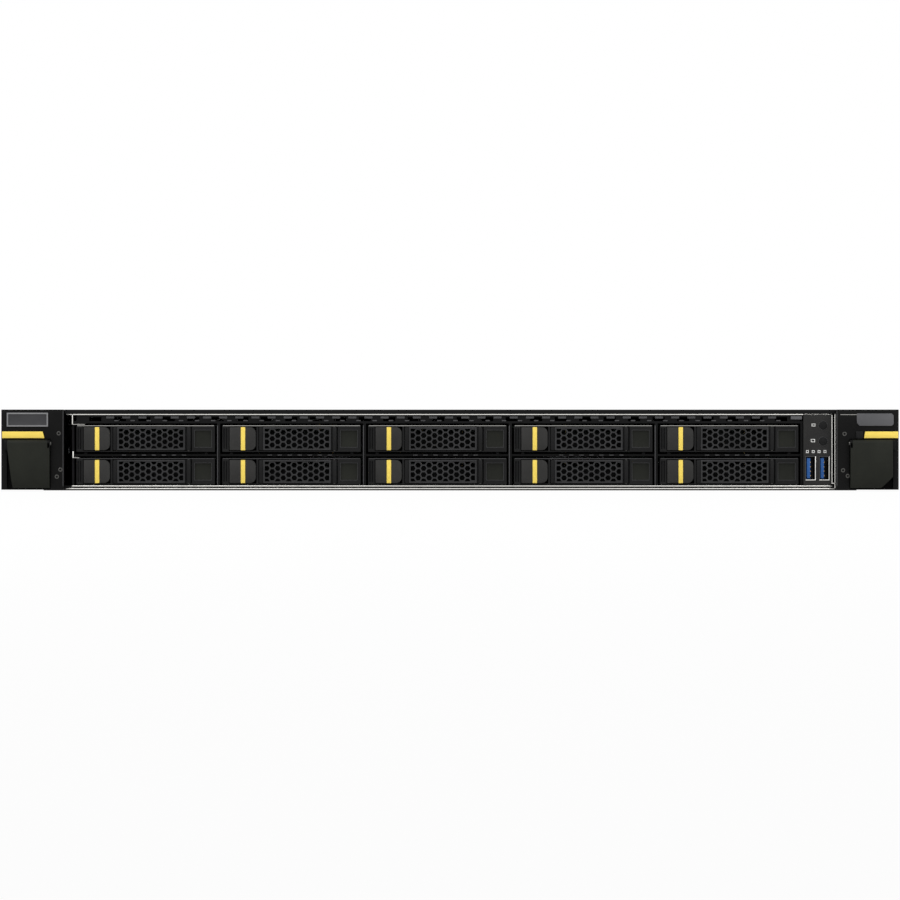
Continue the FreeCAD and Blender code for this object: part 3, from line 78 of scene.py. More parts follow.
CAD_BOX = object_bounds()

bl_info = {
    "name": "Rack server",
    "version": (1, 1, 0),
    "blender": (4, 5, 0),
    "location": "3D View > Sidebar > Server",
    "description": "Dresses the solids of a 1U rack server",
    "category": "Object",
}

MM = 0.001
X, Y, Z = range(3)
Place = namedtuple("Place", "x y z")
TRAYS = range(1, 11)
FANS = range(1, 7)
SUPPLIES = (1, 2)
TIGHT = 0.01  # two places closer than this are the same
FACING = 0.9  # the share of a normal along an axis from which a face looks that way


# ------------------------------------------------------------------ settings
def length(name, description, millimetres):
    """A length that a user can change."""
    return bpy.props.FloatProperty(name=name, description=description, default=millimetres * MM, min=0.0,
                                   unit="LENGTH", precision=5)


def tint(name, description, red, green, blue):
    """A colour that a user can change."""
    return bpy.props.FloatVectorProperty(name=name, description=description, default=(red, green, blue), size=3,
                                         min=0.0, max=1.0, subtype="COLOR")


class ServerSizes(bpy.types.PropertyGroup):
    """Sizes of the parts that are modelled here."""

    cell_pitch: length("Grille pitch", "Height of one hexagon of the lever grille", 3.42)
    cell_web: length("Grille web", "Thickness of the webs between hexagons", 0.75)
    lever_rim: length("Lever rim", "Width of the rim round the lever grille", 0.9)
    groove_strip: length("Grooved strip", "Width of the grooved strip beside a release button", 2.0)
    button_end: length("Button end", "Radius of the right end of a release button", 3.2)
    pad_recess: length("Pad recess", "Side of the square recess at the right end of a tray", 9.1)
    bright_line: length("Bright line", "Height of the bare steel edges on the front", 0.6)
    # The tray edges and ear rims of this height are painted highlights
    thin_line: length("Thin line", "Height of the bare edges of the trays", 0.34)
    tab_width: length("Vent tab", "Width of a tab in the vent strip", 4.3)
    tab_pitch: length("Vent pitch", "Distance between the tabs of the vent strip", 8.7)
    dash_pitch: length("Shelf pitch", "Distance between the ribs of the middle shelf", 5.4)
    soft_edge: length("Soft edge", "Radius of moulded edges", 0.35)
    folded_edge: length("Folded edge", "Radius of sheet metal edges", 0.2)
    guard_wire: length("Guard wire", "Thickness of the wires of the fan guards", 1.2)


class ServerColours(bpy.types.PropertyGroup):
    """Colours of the finishes."""

    black: tint("Black moulding", "Ears and frames", 0.0040, 0.0040, 0.0039)
    tray: tint("Tray moulding", "Fronts of the trays", 0.0078, 0.0078, 0.0080)
    grip: tint("Grip", "Flip levers on the ears", 0.0130, 0.0140, 0.0108)
    button: tint("Button", "Release buttons on the trays", 0.026, 0.0255, 0.0245)
    lever: tint("Lever", "Grille levers", 0.026, 0.026, 0.027)
    panel: tint("Panel", "Control panel", 0.0215, 0.021, 0.0205)
    stripe: tint("Stripe", "Stripes on the buttons and ears", 0.88, 0.66, 0.115)
    plate: tint("Name plate", "Blank plates on the ears", 0.085, 0.085, 0.09)
    plate_edge: tint("Plate edge", "Frame of the left name plate", 0.19, 0.19, 0.195)
    steel: tint("Zinc-coated steel", "Chassis and covers", 0.40, 0.405, 0.41)
    bright: tint("Bare steel", "Cut edges, screws and connector shells", 0.78, 0.77, 0.73)
    tongue: tint("USB tongue", "Tongues of the front USB ports", 0.010, 0.085, 0.30)
    mark: tint("Marks", "Printed dots on the panel", 0.66, 0.66, 0.64)
    board: tint("Circuit board", "Solder mask of the boards", 0.012, 0.075, 0.035)
    copper: tint("Gold contact", "Contacts and pads", 0.80, 0.56, 0.22)
    aluminium: tint("Aluminium", "Heatsink fins", 0.72, 0.73, 0.74)


# ------------------------------------------------------------------ shader helpers
class Wire:
    """One value of a material. Sums and products of wires add the nodes that work them out."""

    def __init__(self, recipe, socket):
        self.recipe, self.socket = recipe, socket

    def combined(self, operation, first, second):
        return self.recipe.node("Math", {0: first, 1: second}, operation=operation)

    def __add__(self, other):
        return self.combined("ADD", self, other)

    def __mul__(self, other):
        return self.combined("MULTIPLY", self, other)

    def __rsub__(self, other):
        return self.combined("SUBTRACT", other, self)

    def __gt__(self, other):
        return self.combined("GREATER_THAN", self, other)

    def __lt__(self, other):
        return self.combined("LESS_THAN", self, other)

    __radd__ = __add__
    __rmul__ = __mul__


class Recipe:
    """Node tree of one finish, from object coordinates to a surface."""

    def __init__(self, name):
        self.material = bpy.data.materials.new(name)
        self.material.use_nodes = True
        self.clear(self.material.node_tree)

    @classmethod
    def of_world(cls, world):
        """A recipe for the background."""
        recipe = cls.__new__(cls)
        recipe.clear(world.node_tree)
        return recipe

    def clear(self, tree):
        """Starts an empty tree with the object coordinates."""
        self.tree = tree
        tree.nodes.clear()
        self.place = self.node("TexCoord", output="Object")

    def node(self, kind, sockets=None, output=0, **settings):
        """Adds one shader node of a kind: its settings first, then the values or links of its sockets."""
        made = self.tree.nodes.new("ShaderNode" + kind)
        for key, value in settings.items():
            setattr(made, key, value)
        for key, value in (sockets or {}).items():
            if isinstance(value, Wire):
                self.tree.links.new(value.socket, made.inputs[key])
            else:
                made.inputs[key].default_value = value
        return Wire(self, made.outputs[output])

    def noise(self, scale, detail=3.0, rough=0.55, place=None, output=0):
        return self.node("TexNoise", {"Vector": place or self.place, "Scale": scale, "Detail": detail,
                                      "Roughness": rough}, output)

    def cells(self, scale, place=None, output=0, randomness=1.0, **settings):
        return self.node("TexVoronoi", {"Vector": place or self.place, "Scale": scale, "Randomness": randomness},
                         output, **settings)

    def stretched(self, x, y, z):
        return self.node("Mapping", {"Vector": self.place, "Scale": (x, y, z)})

    def ramp(self, wire, low, high, start=0.0, end=1.0):
        return self.node("MapRange", {"Value": wire, "From Min": low, "From Max": high, "To Min": start,
                                      "To Max": end}, clamp=True)

    def blend(self, mask, first, second):
        colours = [c if isinstance(c, Wire) else (*c, 1.0) for c in (first, second)]
        return self.node("Mix", {"Factor": mask, 6: colours[0], 7: colours[1]}, 2, data_type="RGBA")

    def drifting(self, mask, colour, dark, light, low=0.3, high=0.7):
        """A colour that goes from a darker to a lighter shade as the mask goes from low to high."""
        return self.blend(self.ramp(mask, low, high), shade(colour, dark), shade(colour, light))

    def bumps(self, height, strength, distance):
        return self.node("Bump", {"Strength": strength, "Distance": distance, "Height": height})

    def surface(self, colour, roughness, normal, specular=0.5, metallic=0.0):
        """Ends the tree in a surface."""
        self.ended(self.node("BsdfPrincipled", {"Base Color": colour, "Roughness": roughness, "Normal": normal,
                                                "Specular IOR Level": specular, "Metallic": metallic}))
        return self.material

    def ended(self, shader, kind="Material"):
        end = self.tree.nodes.new("ShaderNodeOutput" + kind)
        self.tree.links.new(shader.socket, end.inputs["Surface"])


def shade(colour, factor):
    return tuple(min(1.0, c * factor) for c in colour)


def moulded(name, colour, roughness, specular, contrast=0.25):
    """Moulded plastic: spark-eroded grain, faint flow marks and a little handling polish."""
    r = Recipe(name)
    grain = r.noise(2600.0, 2.0) * 0.6 + r.cells(1500.0) * 0.4
    patches = r.noise(45.0, 4.0)
    rough = r.ramp(patches + r.noise(380.0) * 0.35, 0.4, 0.95, roughness - 0.07, roughness + 0.09)
    return r.surface(r.drifting(patches, colour, 1 - contrast, 1 + contrast), rough, r.bumps(grain, 0.5, 0.00006),
                     specular)


def painted(name, colour, roughness, specular):
    """Powder coat: orange-peel dimples over a faint colour drift."""
    r = Recipe(name)
    peel = r.noise(900.0, 2.0, 0.4)
    rough = r.ramp(peel, 0.3, 0.7, roughness - 0.05, roughness + 0.08)
    return r.surface(r.drifting(r.noise(30.0), colour, 0.85, 1.15), rough, r.bumps(peel, 0.35, 0.00008), specular)


def zinc(name, colour, roughness):
    """Zinc-coated sheet: spangled crystals, rolling lines and light scuffs."""
    r = Recipe(name)
    wobble = r.node("VectorMath", {0: r.noise(260.0, 2.0, 0.5, output="Color"), "Scale": 0.003}, operation="SCALE")
    crystal = r.cells(420.0, r.node("VectorMath", {0: r.place, 1: wobble}, operation="ADD"), "Color")
    tone = r.node("SeparateXYZ", {"Vector": crystal}, "X")
    rolled = r.noise(1.0, 4.0, 0.6, r.stretched(700.0, 9.0, 700.0))
    scuffs = r.ramp(r.noise(1.0, 5.0, 0.7, r.stretched(60.0, 260.0, 60.0)), 0.6, 0.75)
    mixed = tone * 0.35 + rolled * 0.65
    rough = r.ramp(mixed, 0.2, 0.8, roughness + 0.06, roughness - 0.04) + scuffs * 0.10
    return r.surface(r.drifting(mixed, colour, 0.86, 1.08, 0.15, 0.85), rough,
                     r.bumps(rolled * 0.6 + scuffs * 0.4, 0.12, 0.00005), metallic=1.0)


def bare_metal(name, colour, roughness=0.25, lines=(30.0, 30.0, 1200.0)):
    """Cut or plated metal with fine drawn lines and small tarnish spots."""
    r = Recipe(name)
    drawn = r.noise(1.0, 4.0, 0.6, r.stretched(*lines))
    spots = r.ramp(r.noise(300.0, 4.0), 0.55, 0.75)
    rough = r.ramp(drawn, 0.3, 0.7, roughness - 0.06, roughness + 0.10) + spots * 0.12
    return r.surface(r.blend(spots * 0.6, shade(colour, 1.05), shade(colour, 0.68)), rough,
                     r.bumps(drawn, 0.15, 0.00003), metallic=1.0)


def perforated(name, web, hole):
    """Fine steel mesh: rows of round holes that look dark."""
    r = Recipe(name)
    holes = r.cells(620.0, r.stretched(1.0, 0.0, 1.0), randomness=0.0) < 0.36
    wear = r.noise(140.0)
    return r.surface(r.blend(holes, r.drifting(wear, web, 0.8, 1.25), hole), r.ramp(wear, 0.3, 0.7, 0.4, 0.55),
                     r.bumps(1.0 - holes, 0.5, 0.0002), 0.3)


def circuit(name, colour, copper):
    """Printed board: solder mask with hair-thin tracks, vias and small pads."""
    r = Recipe(name)
    plane = r.stretched(1.0, 1.0, 0.0)
    waves = r.node("TexWave", {"Vector": plane, "Scale": 170.0, "Distortion": 1.2, "Detail": 1.0, "Detail Scale": 0.6},
                   wave_type="BANDS", bands_direction="X")
    tracks = (waves > 0.72) * (r.cells(60.0, plane, distance="CHEBYCHEV") > 0.28)
    vias = r.cells(420.0, plane) < 0.16
    mask = r.drifting(r.noise(22.0, 2.0), colour, 0.75, 1.25)
    return r.surface(r.blend(vias * 0.55, r.blend(tracks * 0.8, mask, shade(colour, 2.1)), copper),
                     r.ramp(vias, 0.0, 1.0, 0.36, 0.28), r.bumps(tracks + vias, 0.3, 0.00004), metallic=vias * 0.6)


def printed(name, colour, roughness=0.5):
    """Paint or print: slightly uneven ink."""
    r = Recipe(name)
    ink = r.noise(1400.0)
    rough = r.ramp(r.noise(70.0), 0.3, 0.7, roughness - 0.06, roughness + 0.08)
    return r.surface(r.drifting(ink, colour, 0.9, 1.06), rough, r.bumps(ink, 0.2, 0.00004), 0.35)


# ------------------------------------------------------------------ finishes
FINE_LINES = (500.0, 500.0, 500.0)
FINISHES = {}


def recipes(c):
    """What makes each finish: a function, then a colour and the other values that it takes."""
    return {
        "black_moulding": (moulded, c.black, 0.52, 0.08),
        "tray_moulding": (moulded, c.tray, 0.50, 0.12),
        "grip_moulding": (moulded, c.grip, 0.55, 0.12),
        "button_moulding": (moulded, c.button, 0.50, 0.16),
        "lever_moulding": (moulded, c.lever, 0.48, 0.18),
        "pad_moulding": (moulded, shade(c.grip, 0.86), 0.5, 0.12),
        "panel_moulding": (moulded, c.panel, 0.50, 0.14),
        "fan_moulding": (moulded, (0.009, 0.009, 0.010), 0.42, 0.3),
        "stripe_moulding": (moulded, c.stripe, 0.42, 0.3, 0.05),
        "plate_moulding": (moulded, c.plate, 0.45, 0.3, 0.12),
        "plate_inset": (moulded, shade(c.plate, 0.5), 0.5, 0.2),
        "usb_tongue": (moulded, c.tongue, 0.4, 0.35, 0.15),
        "chip_black": (moulded, (0.011, 0.011, 0.012), 0.5, 0.35),
        "socket_ivory": (moulded, (0.62, 0.58, 0.48), 0.45, 0.4, 0.06),
        "black_coat": (painted, (0.0042, 0.0042, 0.0044), 0.45, 0.10),
        # A lighter grey that stands for light: painted highlights on ribs, rims, divider edges, button rings and the
        # lower tray edges, and painted shade on the dull side of the USB shells
        "rib_coat": (painted, (0.050, 0.050, 0.052), 0.42, 0.25),
        # Near-black paint on the drives' front faces: painted shade seen through the lever grilles
        "drive_front": (painted, (0.0075, 0.0078, 0.0080), 0.5, 0.10),
        "zinc_sheet": (zinc, c.steel, 0.62),
        "vent_mesh": (perforated, (0.045, 0.045, 0.047), (0.0015, 0.0015, 0.0015)),
        "bare_steel": (bare_metal, c.bright),
        # Dim bare steel for the feet of the cage's left edge, and painted highlights on the upper tray edges and on
        # the top of the right ear
        "worn_edge": (bare_metal, shade(c.bright, 0.42), 0.4, (300.0, 300.0, 300.0)),
        "screw_steel": (bare_metal, shade(c.bright, 0.55), 0.34, FINE_LINES),
        "screw_black": (bare_metal, shade(c.bright, 0.10), 0.3, FINE_LINES),
        "gold_contact": (bare_metal, c.copper, 0.24),
        "aluminium_fin": (bare_metal, c.aluminium, 0.3, (600.0, 8.0, 600.0)),
        "drive_alloy": (bare_metal, (0.34, 0.345, 0.35), 0.42, (14.0, 500.0, 14.0)),
        "board_green": (circuit, c.board, c.copper),
        "plate_edge": (printed, c.plate_edge, 0.4),
        "panel_mark": (printed, c.mark),
        "status_green": (printed, (0.03, 0.42, 0.09), 0.3),
        "status_amber": (printed, (0.75, 0.33, 0.03), 0.3),
    }


def finish(name):
    """A finish by name, made the first time it is asked for."""
    if name not in FINISHES:
        make, *values = recipes(bpy.context.scene.server_colours)[name]
        FINISHES[name] = make(name, *values)
    return FINISHES[name]


# ------------------------------------------------------------------ modelling helpers
def box(node):
    """Lower and upper corner of a CAD node, in millimetres."""
    return [Place(*(value / MM for value in corner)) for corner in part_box(node)]


def metres(place):
    return [value * MM for value in place]


def setting(key):
    """A length that a user can change, in millimetres."""
    return getattr(bpy.context.scene.server_sizes, key) / MM


def along(axis, amount):
    """A step of an amount along one axis."""
    step = [0.0] * 3
    step[axis] = amount
    return step


def rest():
    """Object mode, with nothing selected."""
    if bpy.context.mode != "OBJECT":
        bpy.ops.object.mode_set(mode="OBJECT")
    bpy.ops.object.select_all(action="DESELECT")


def grab(piece):
    """Makes one piece the only selected and the active one."""
    rest()
    piece.select_set(True)
    bpy.context.view_layer.objects.active = piece


def named(piece, name):
    piece.name = name
    piece.data.name = name
    return piece


def started(name):
    """Puts the place of a new primitive into its mesh and names it."""
    bpy.ops.object.transform_apply(location=True, rotation=True, scale=True)
    return named(bpy.context.active_object, name)


def brick(name, low, high):
    """A block between two corners, as a start for shaping."""
    rest()
    bpy.ops.mesh.primitive_cube_add(size=1.0, location=[(a + b) / 2 * MM for a, b in zip(low, high)])
    bpy.context.active_object.scale = [(b - a) * MM for a, b in zip(low, high)]
    return started(name)


TURNS = ((0, math.pi / 2, 0), (math.pi / 2, 0, 0), (0, 0, 0))


def disc(name, centre, radius, depth, axis, sides=20):
    """A round bar along an axis, as a start for shaping."""
    rest()
    bpy.ops.mesh.primitive_cylinder_add(vertices=sides, radius=radius * MM, depth=depth * MM,
                                        location=metres(centre), rotation=TURNS[axis])
    return started(name)


def ring(name, centre, radius, wire, sides=40):
    """A ring of round wire in the X-Z plane."""
    rest()
    bpy.ops.mesh.primitive_torus_add(location=metres(centre), rotation=TURNS[Y], major_segments=sides,
                                     minor_segments=8, major_radius=radius * MM, minor_radius=wire / 2 * MM)
    return started(name)


def edit(piece, kind):
    """Edit mode on one piece, with nothing selected."""
    grab(piece)
    bpy.ops.object.mode_set(mode="EDIT")
    bpy.ops.mesh.select_mode(type=kind)
    bpy.ops.mesh.select_all(action="DESELECT")
    return bmesh.from_edit_mesh(piece.data)


def pick_faces(piece, test):
    """Selects the faces whose middle and normal pass a test, in edit mode."""
    for face in edit(piece, "FACE").faces:
        if test(face.calc_center_median() / MM, face.normal):
            face.select_set(True)
    bmesh.update_edit_mesh(piece.data)


def pick_edges(piece, axis, place):
    """Selects the edges along an axis at a place, given by one or two other axes, in edit mode."""
    for edge in edit(piece, "EDGE").edges:
        a, b = [vertex.co / MM for vertex in edge.verts]
        level = all(abs(a[k] - b[k]) < TIGHT for k in (X, Y, Z) if k != axis)
        if level and all(abs(a[k] - value) < TIGHT for k, value in place.items()):
            edge.select_set(True)
    bmesh.update_edit_mesh(piece.data)


def pick_all(piece):
    edit(piece, "FACE")
    bpy.ops.mesh.select_all(action="SELECT")


def extruded(step):
    """Extrudes what is selected by a step."""
    bpy.ops.mesh.extrude_region_move(TRANSFORM_OT_translate={"value": metres(step)})
    rest()


def moved(step):
    """Moves what is selected by a step."""
    bpy.ops.transform.translate(value=metres(step))
    rest()


def cut_across(piece, axis, position, side=0):
    """Bisects a piece at a plane; side 1 or -1 cuts away what lies beyond it."""
    pick_all(piece)
    bpy.ops.mesh.bisect(plane_co=along(axis, position * MM), plane_no=along(axis, float(side or 1)),
                        clear_outer=bool(side))
    rest()


def bevelled(piece, axis, place, width, segments=1):
    """Bevels the edges along an axis at a place."""
    pick_edges(piece, axis, place)
    bpy.ops.mesh.bevel(offset=width * MM, segments=segments, affect="EDGES")
    rest()
    return piece


def scored(piece, low, high):
    """Cuts lines along the sides of a rectangle in X and Z."""
    for axis in (X, Z):
        cut_across(piece, axis, low[axis])
        cut_across(piece, axis, high[axis])


def windowed(piece, low, high):
    """Opens a window, a rectangle in X and Z, from the front of a plate to its back."""
    scored(piece, low, high)
    pick_faces(piece, lambda m, n: abs(n.y) > FACING and all(low[k] < m[k] < high[k] for k in (X, Z)))
    bpy.ops.mesh.bridge_edge_loops()
    rest()
    return piece


def framed(name, low, high, rim):
    """A rectangular frame between two corners, in X and Z."""
    piece = brick(name, low, high)
    return windowed(piece, (low[X] + rim, 0, low[Z] + rim), (high[X] - rim, 0, high[Z] - rim))


def pocketed(piece, low, high, depth):
    """Pushes a rectangle of the front in; its corners lie before and behind that front."""
    scored(piece, low, high)
    pick_faces(piece, lambda m, n: n.y < -FACING and all(low[k] < m[k] < high[k] for k in (X, Y, Z)))
    extruded((0, depth, 0))
    return piece


def hollowed(piece, axis, side, wall, depth, beyond=-math.inf):
    """Insets the faces that look to one side, from a place on, by a wall and pushes them in."""
    pick_faces(piece, lambda m, n: n[axis] * side > FACING and m[axis] * side > beyond)
    bpy.ops.mesh.inset(thickness=wall * MM)
    extruded(along(axis, -side * depth))
    return piece


def modified(piece, kind, **settings):
    """Applies a modifier with its settings."""
    grab(piece)
    tool = piece.modifiers.new(kind.lower(), kind)
    for key, value in settings.items():
        setattr(tool, key, value)
    bpy.ops.object.modifier_apply(modifier=tool.name)
    return piece


def softened(piece, width=0.0, segments=2):
    """Rounds the sharp edges with a bevel, and shades the piece smooth."""
    if width > 0:
        modified(piece, "BEVEL", width=width * MM, segments=segments, limit_method="ANGLE",
                 angle_limit=math.radians(35), use_clamp_overlap=True)
    grab(piece)
    bpy.ops.object.shade_smooth_by_angle(angle=math.radians(40))
    return piece


def bar(name, low, high, edge=0.0):
    """A block with rounded edges."""
    return softened(brick(name, low, high), edge)


def repeated(piece, count, step):
    """An applied array of a piece."""
    return modified(piece, "ARRAY", count=count, use_relative_offset=False, use_constant_offset=True,
                    constant_offset_displace=metres(step))


def merged(pieces, name):
    """One piece from several; each keeps its finishes."""
    grab(pieces[0])
    for piece in pieces:
        piece.select_set(True)
    bpy.ops.object.join()
    return named(pieces[0], name)


def twin(piece, name, step=(0, 0, 0)):
    """A copy with its own mesh, moved by a step."""
    grab(piece)
    bpy.ops.object.duplicate(linked=False)
    copy = bpy.context.active_object
    copy.data.transform(Matrix.Translation(metres(step)))
    return named(copy, name)


def flipped(piece, name):
    """The mirror twin on the other side of the X = 0 plane, with its normals outwards."""
    copy = twin(piece, name)
    pick_all(copy)
    bpy.ops.transform.mirror(constraint_axis=(True, False, False), center_override=(0, 0, 0))
    bpy.ops.mesh.flip_normals()
    rest()
    return copy


def casting(node, name):
    """A copy of a CAD solid with the corners of its triangles joined, sharp where its sheets meet."""
    rest()
    piece = bpy.data.objects.new(name, frame["nodes"][node].data.copy())
    bpy.context.scene.collection.objects.link(piece)
    named(piece, name)
    pick_all(piece)
    bpy.ops.mesh.remove_doubles(threshold=0.000002)
    edit(piece, "EDGE")
    bpy.ops.mesh.select_non_manifold()
    bpy.ops.mesh.mark_sharp()
    grab(piece)
    if piece.data.has_custom_normals:
        bpy.ops.mesh.customdata_custom_splitnormals_clear()
    return piece


def coated(piece, *names, choose=None):
    """Gives a piece its finishes; choose returns the number of one for a face's middle and normal."""
    piece.data.materials.clear()
    for name in names:
        piece.data.materials.append(finish(name))
    for face in piece.data.polygons:
        face.material_index = int(choose(face.center / MM, face.normal)) if choose else 0
    return piece


def placed(piece, node, stands_for=True):
    """Lets a piece ride with a node's body, and stand for the node."""
    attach(piece, frame["nodes"][node]["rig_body"])
    if stands_for:
        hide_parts(node)
    return piece


def added(piece, node, slot, *names):
    """Lets a detail in its finish ride with a node that another piece stands for."""
    return placed(coated(piece, *names) if names else piece, node, stands_for=False)


def detail(node, slot, finish_name, name, low, high, edge=0.0, rows=()):
    """A bar that rides with a node; rows repeat it, each by a count and a step."""
    piece = bar(name, low, high, edge)
    for count, step in rows:
        repeated(piece, count, step)
    return added(piece, node, slot, finish_name)


def dressed(node, slot, *names, choose=None, edge=0.0):
    """A copy of a CAD solid that stands for it in a detailed finish."""
    piece = softened(casting(node, node + "_skin"), edge)
    return placed(coated(piece, *names, choose=choose), node)


def spread(piece, nodes, suffix, stands_for=True):
    """Copies of a piece that was modelled on the first of some nodes, one for each of them."""
    home = box(nodes[0])[0]
    for node in nodes:
        name, step = node + suffix, [a - b for a, b in zip(box(node)[0], home)]
        placed(twin(piece, name, step) if any(step) else named(piece, name), node, stands_for)


def front_plane():
    """Front plane of the chassis, which its hem stands on."""
    return box("chassis_base")[0].y


# ------------------------------------------------------------------ stage
LAMPS = (  # name, place, size and power
    ("key_lamp", (-0.9, -1.6, 1.5), 1.3, 20.0),
    ("fill_lamp", (1.3, -1.5, 0.9), 1.3, 12.0),
    ("back_lamp", (0.4, 1.7, 1.8), 1.4, 5.0),
)
LAMP_AIM = Vector((0, -0.2, 0.02))
WHITE = (1, 1, 1, 1)


class SERVER_OT_stage(bpy.types.Operator):
    """Pale floor, white background, soft lamps and the camera straight in front"""

    bl_idname = "server.stage"
    bl_label = "Stage and camera"

    def execute(self, context):
        self.floor()
        context.scene.world = self.backdrop()
        for name, place, size, power in LAMPS:
            rest()
            bpy.ops.object.light_add(type="AREA", location=place)
            lamp = named(bpy.context.active_object, name)
            lamp.data.size, lamp.data.energy = size, power
            lamp.rotation_euler = (LAMP_AIM - Vector(place)).to_track_quat("-Z", "Y").to_euler()
        context.scene.camera = self.camera()
        context.scene.view_settings.view_transform = "Standard"
        return {"FINISHED"}

    def seen(self, r):
        """1 for the camera, for reflections and through glass; 0 for light on the object."""
        rays = [r.node("LightPath", output="Is %s Ray" % kind) for kind in ("Camera", "Glossy", "Transmission")]
        return r.node("Math", {0: rays[0] + rays[1] + rays[2], 1: 1.0}, operation="MINIMUM")

    def floor(self):
        r = Recipe("floor_white")
        base = r.blend(r.noise(6.0), (0.86, 0.86, 0.86), (0.88, 0.88, 0.88))
        matt = r.node("BsdfDiffuse", {"Color": base})
        glow = r.node("Emission", {"Color": WHITE, "Strength": 1.0})
        r.ended(r.node("MixShader", {0: self.seen(r) * 0.93, 1: matt, 2: glow}))
        rest()
        bpy.ops.mesh.primitive_plane_add(size=12.0, location=(0, 0, CAD_BOX[0].z - 0.2 * MM))
        floor = started("floor")
        floor.data.materials.append(r.material)

    def backdrop(self):
        """White to the camera and in reflections, and a softer light on the object."""
        world = bpy.data.worlds.new("backdrop")
        world.use_nodes = True
        r = Recipe.of_world(world)
        level = r.ramp(self.seen(r), 0.0, 1.0, 0.5, 1.0)
        r.ended(r.node("Background", {"Color": WHITE, "Strength": level}), "World")
        return world

    def camera(self):
        """A long lens whose view the server just fills from side to side."""
        low, high = CAD_BOX
        lens, sensor, margin = 180.0, 36.0, 1.001
        distance = (high.x - low.x) * margin * lens / sensor
        rest()
        bpy.ops.object.camera_add(location=(0, low.y - distance, (low.z + high.z) / 2), rotation=(math.pi / 2, 0, 0))
        camera = named(bpy.context.active_object, "front_camera")
        camera.data.lens, camera.data.sensor_width = lens, sensor
        camera.data.clip_start, camera.data.clip_end = 0.05, 100.0
        return camera


# ------------------------------------------------------------------ trays
def tray_front(low, high):
    """The moulded front: button pocket, open lever window, grooves and a recessed pad."""
    skin, gap, pitch, groove = 0.6, 0.3, 1.3, 0.6
    z0, z1 = low.z + skin, high.z - skin
    latch, lever = box("tray_latch_1"), box("tray_lever_1")
    piece = brick("tray_front", low, (high.x, low.y + 12.0, high.z))
    before, behind = low.y - 1, low.y + 1
    pocketed(piece, (latch[0].x + setting("groove_strip") - gap, before, z0), (latch[1].x + gap, behind, z1), 9.8)
    windowed(piece, (lever[0].x - gap, 0, z0), (lever[1].x + gap, 0, z1))
    middle, half, centre = (lever[1].x + high.x) / 2, setting("pad_recess") / 2, (low.z + high.z) / 2
    pocketed(piece, (middle - half, before, centre - half), (middle + half, behind, centre + half), 1.2)
    for k in range(2):
        x = low.x + 0.7 + pitch * k
        pocketed(piece, (x, before, z0 + 1), (x + groove, behind, z1 - 1), 0.9)
    pin = disc("tray_pin", (high.x - 14.2, low.y + 1, centre), 0.75, z1 - z0, Z, 12)
    coated(softened(pin), "screw_black")

    def choose(m, n):
        """The walls of the pad's recess are darker than the front, as painted shade, and its floor is lighter."""
        if abs(m.x - middle) > half + TIGHT or not low.y + 0.3 < m.y < low.y + 2.0:
            return 0
        return 2 if n.y < -FACING else 1

    coated(softened(piece, 0.18), "tray_moulding", "black_moulding", "pad_moulding", choose=choose)
    # The rim round the pad is in the lighter grey: a painted highlight
    line = 0.3
    rim = framed("pad_rim", (middle - half - line, low.y, centre - half - line),
                 (middle + half + line, low.y + 0.6, centre + half + line), line)
    return merged([piece, pin, coated(softened(rim, 0.06), "rib_coat")], "tray_front")


def tray_drive(node, low, high):
    """The part of the CAD solid behind the front: a drive between two folded rails."""
    start, middle, rails = low.y + 12.05, (low.x + high.x) / 2, 35.0
    piece = casting(node, "tray_drive")
    cut_across(piece, Y, start, side=-1)

    def choose(m, n):
        if abs(m.x - middle) > rails or m.z < low.z + 0.59:
            return 0
        # The front faces of the drive get the painted shade finish
        return 2 if m.y < start + 1.5 and n.y < -0.5 else 1

    return coated(softened(piece), "zinc_sheet", "drive_alloy", "drive_front", choose=choose)


class SERVER_OT_trays(bpy.types.Operator):
    """Tray fronts with their pockets and recesses, side rails and drives"""

    bl_idname = "server.trays"
    bl_label = "Drive trays"

    def execute(self, context):
        nodes = ["tray_%d" % k for k in TRAYS]
        low, high = box(nodes[0])
        spread(tray_front(low, high), nodes, "_front")
        spread(tray_drive(nodes[0], low, high), nodes, "_drive", stands_for=False)
        for node in nodes:
            # A painted highlight along the top edge of each tray: brighter on the upper row, dimmer on the lower row
            start, end = box(node)
            detail(node, "steel", "worn_edge" if start.z > low.z - 1 else "rib_coat", node + "_edge",
                   (start.x + 0.4, start.y - 0.05, end.z - setting("thin_line")),
                   (end.x - 0.4, start.y + 0.5, end.z - 0.01))
        return {"FINISHED"}


# ------------------------------------------------------------------ levers and buttons
def lever():
    """A rim round a grille, a tip on the left, and a link to a hinge barrel on the right."""
    low, high = box("tray_lever_1")
    radius, frame_edge = 1.5, 0.9
    plate, left, right = low.y + 0.5, low.x + 2.2, high.x - 2 * radius - 0.4
    rim = left + setting("lever_rim"), right - setting("lever_rim"), low.z + frame_edge, high.z - frame_edge
    surround = brick("lever_rim", (left, low.y, low.z), (right, low.y + 2.3, high.z))
    windowed(surround, (rim[0], 0, rim[2]), (rim[1], 0, rim[3]))
    softened(surround, 0.25)
    tip = brick("lever_tip", (low.x, plate, low.z), (left + 0.2, high.y, high.z))
    softened(bevelled(tip, Y, {X: low.x}, 0.6, 3), 0.1)
    link = bar("lever_link", (right - 0.2, plate + 0.4, low.z), (high.x - radius, plate + 1.9, high.z), 0.15)
    barrel = disc("lever_barrel", (high.x - radius, low.y + 1.5, (low.z + high.z) / 2), radius, high.z - low.z, Z)
    bright = [coated(piece, "lever_moulding") for piece in (surround, grille(*rim, low.y + 0.45))]
    dark = [coated(piece, "tray_moulding") for piece in (tip, link, softened(barrel, 0.2))]
    return merged(bright + dark, "lever")


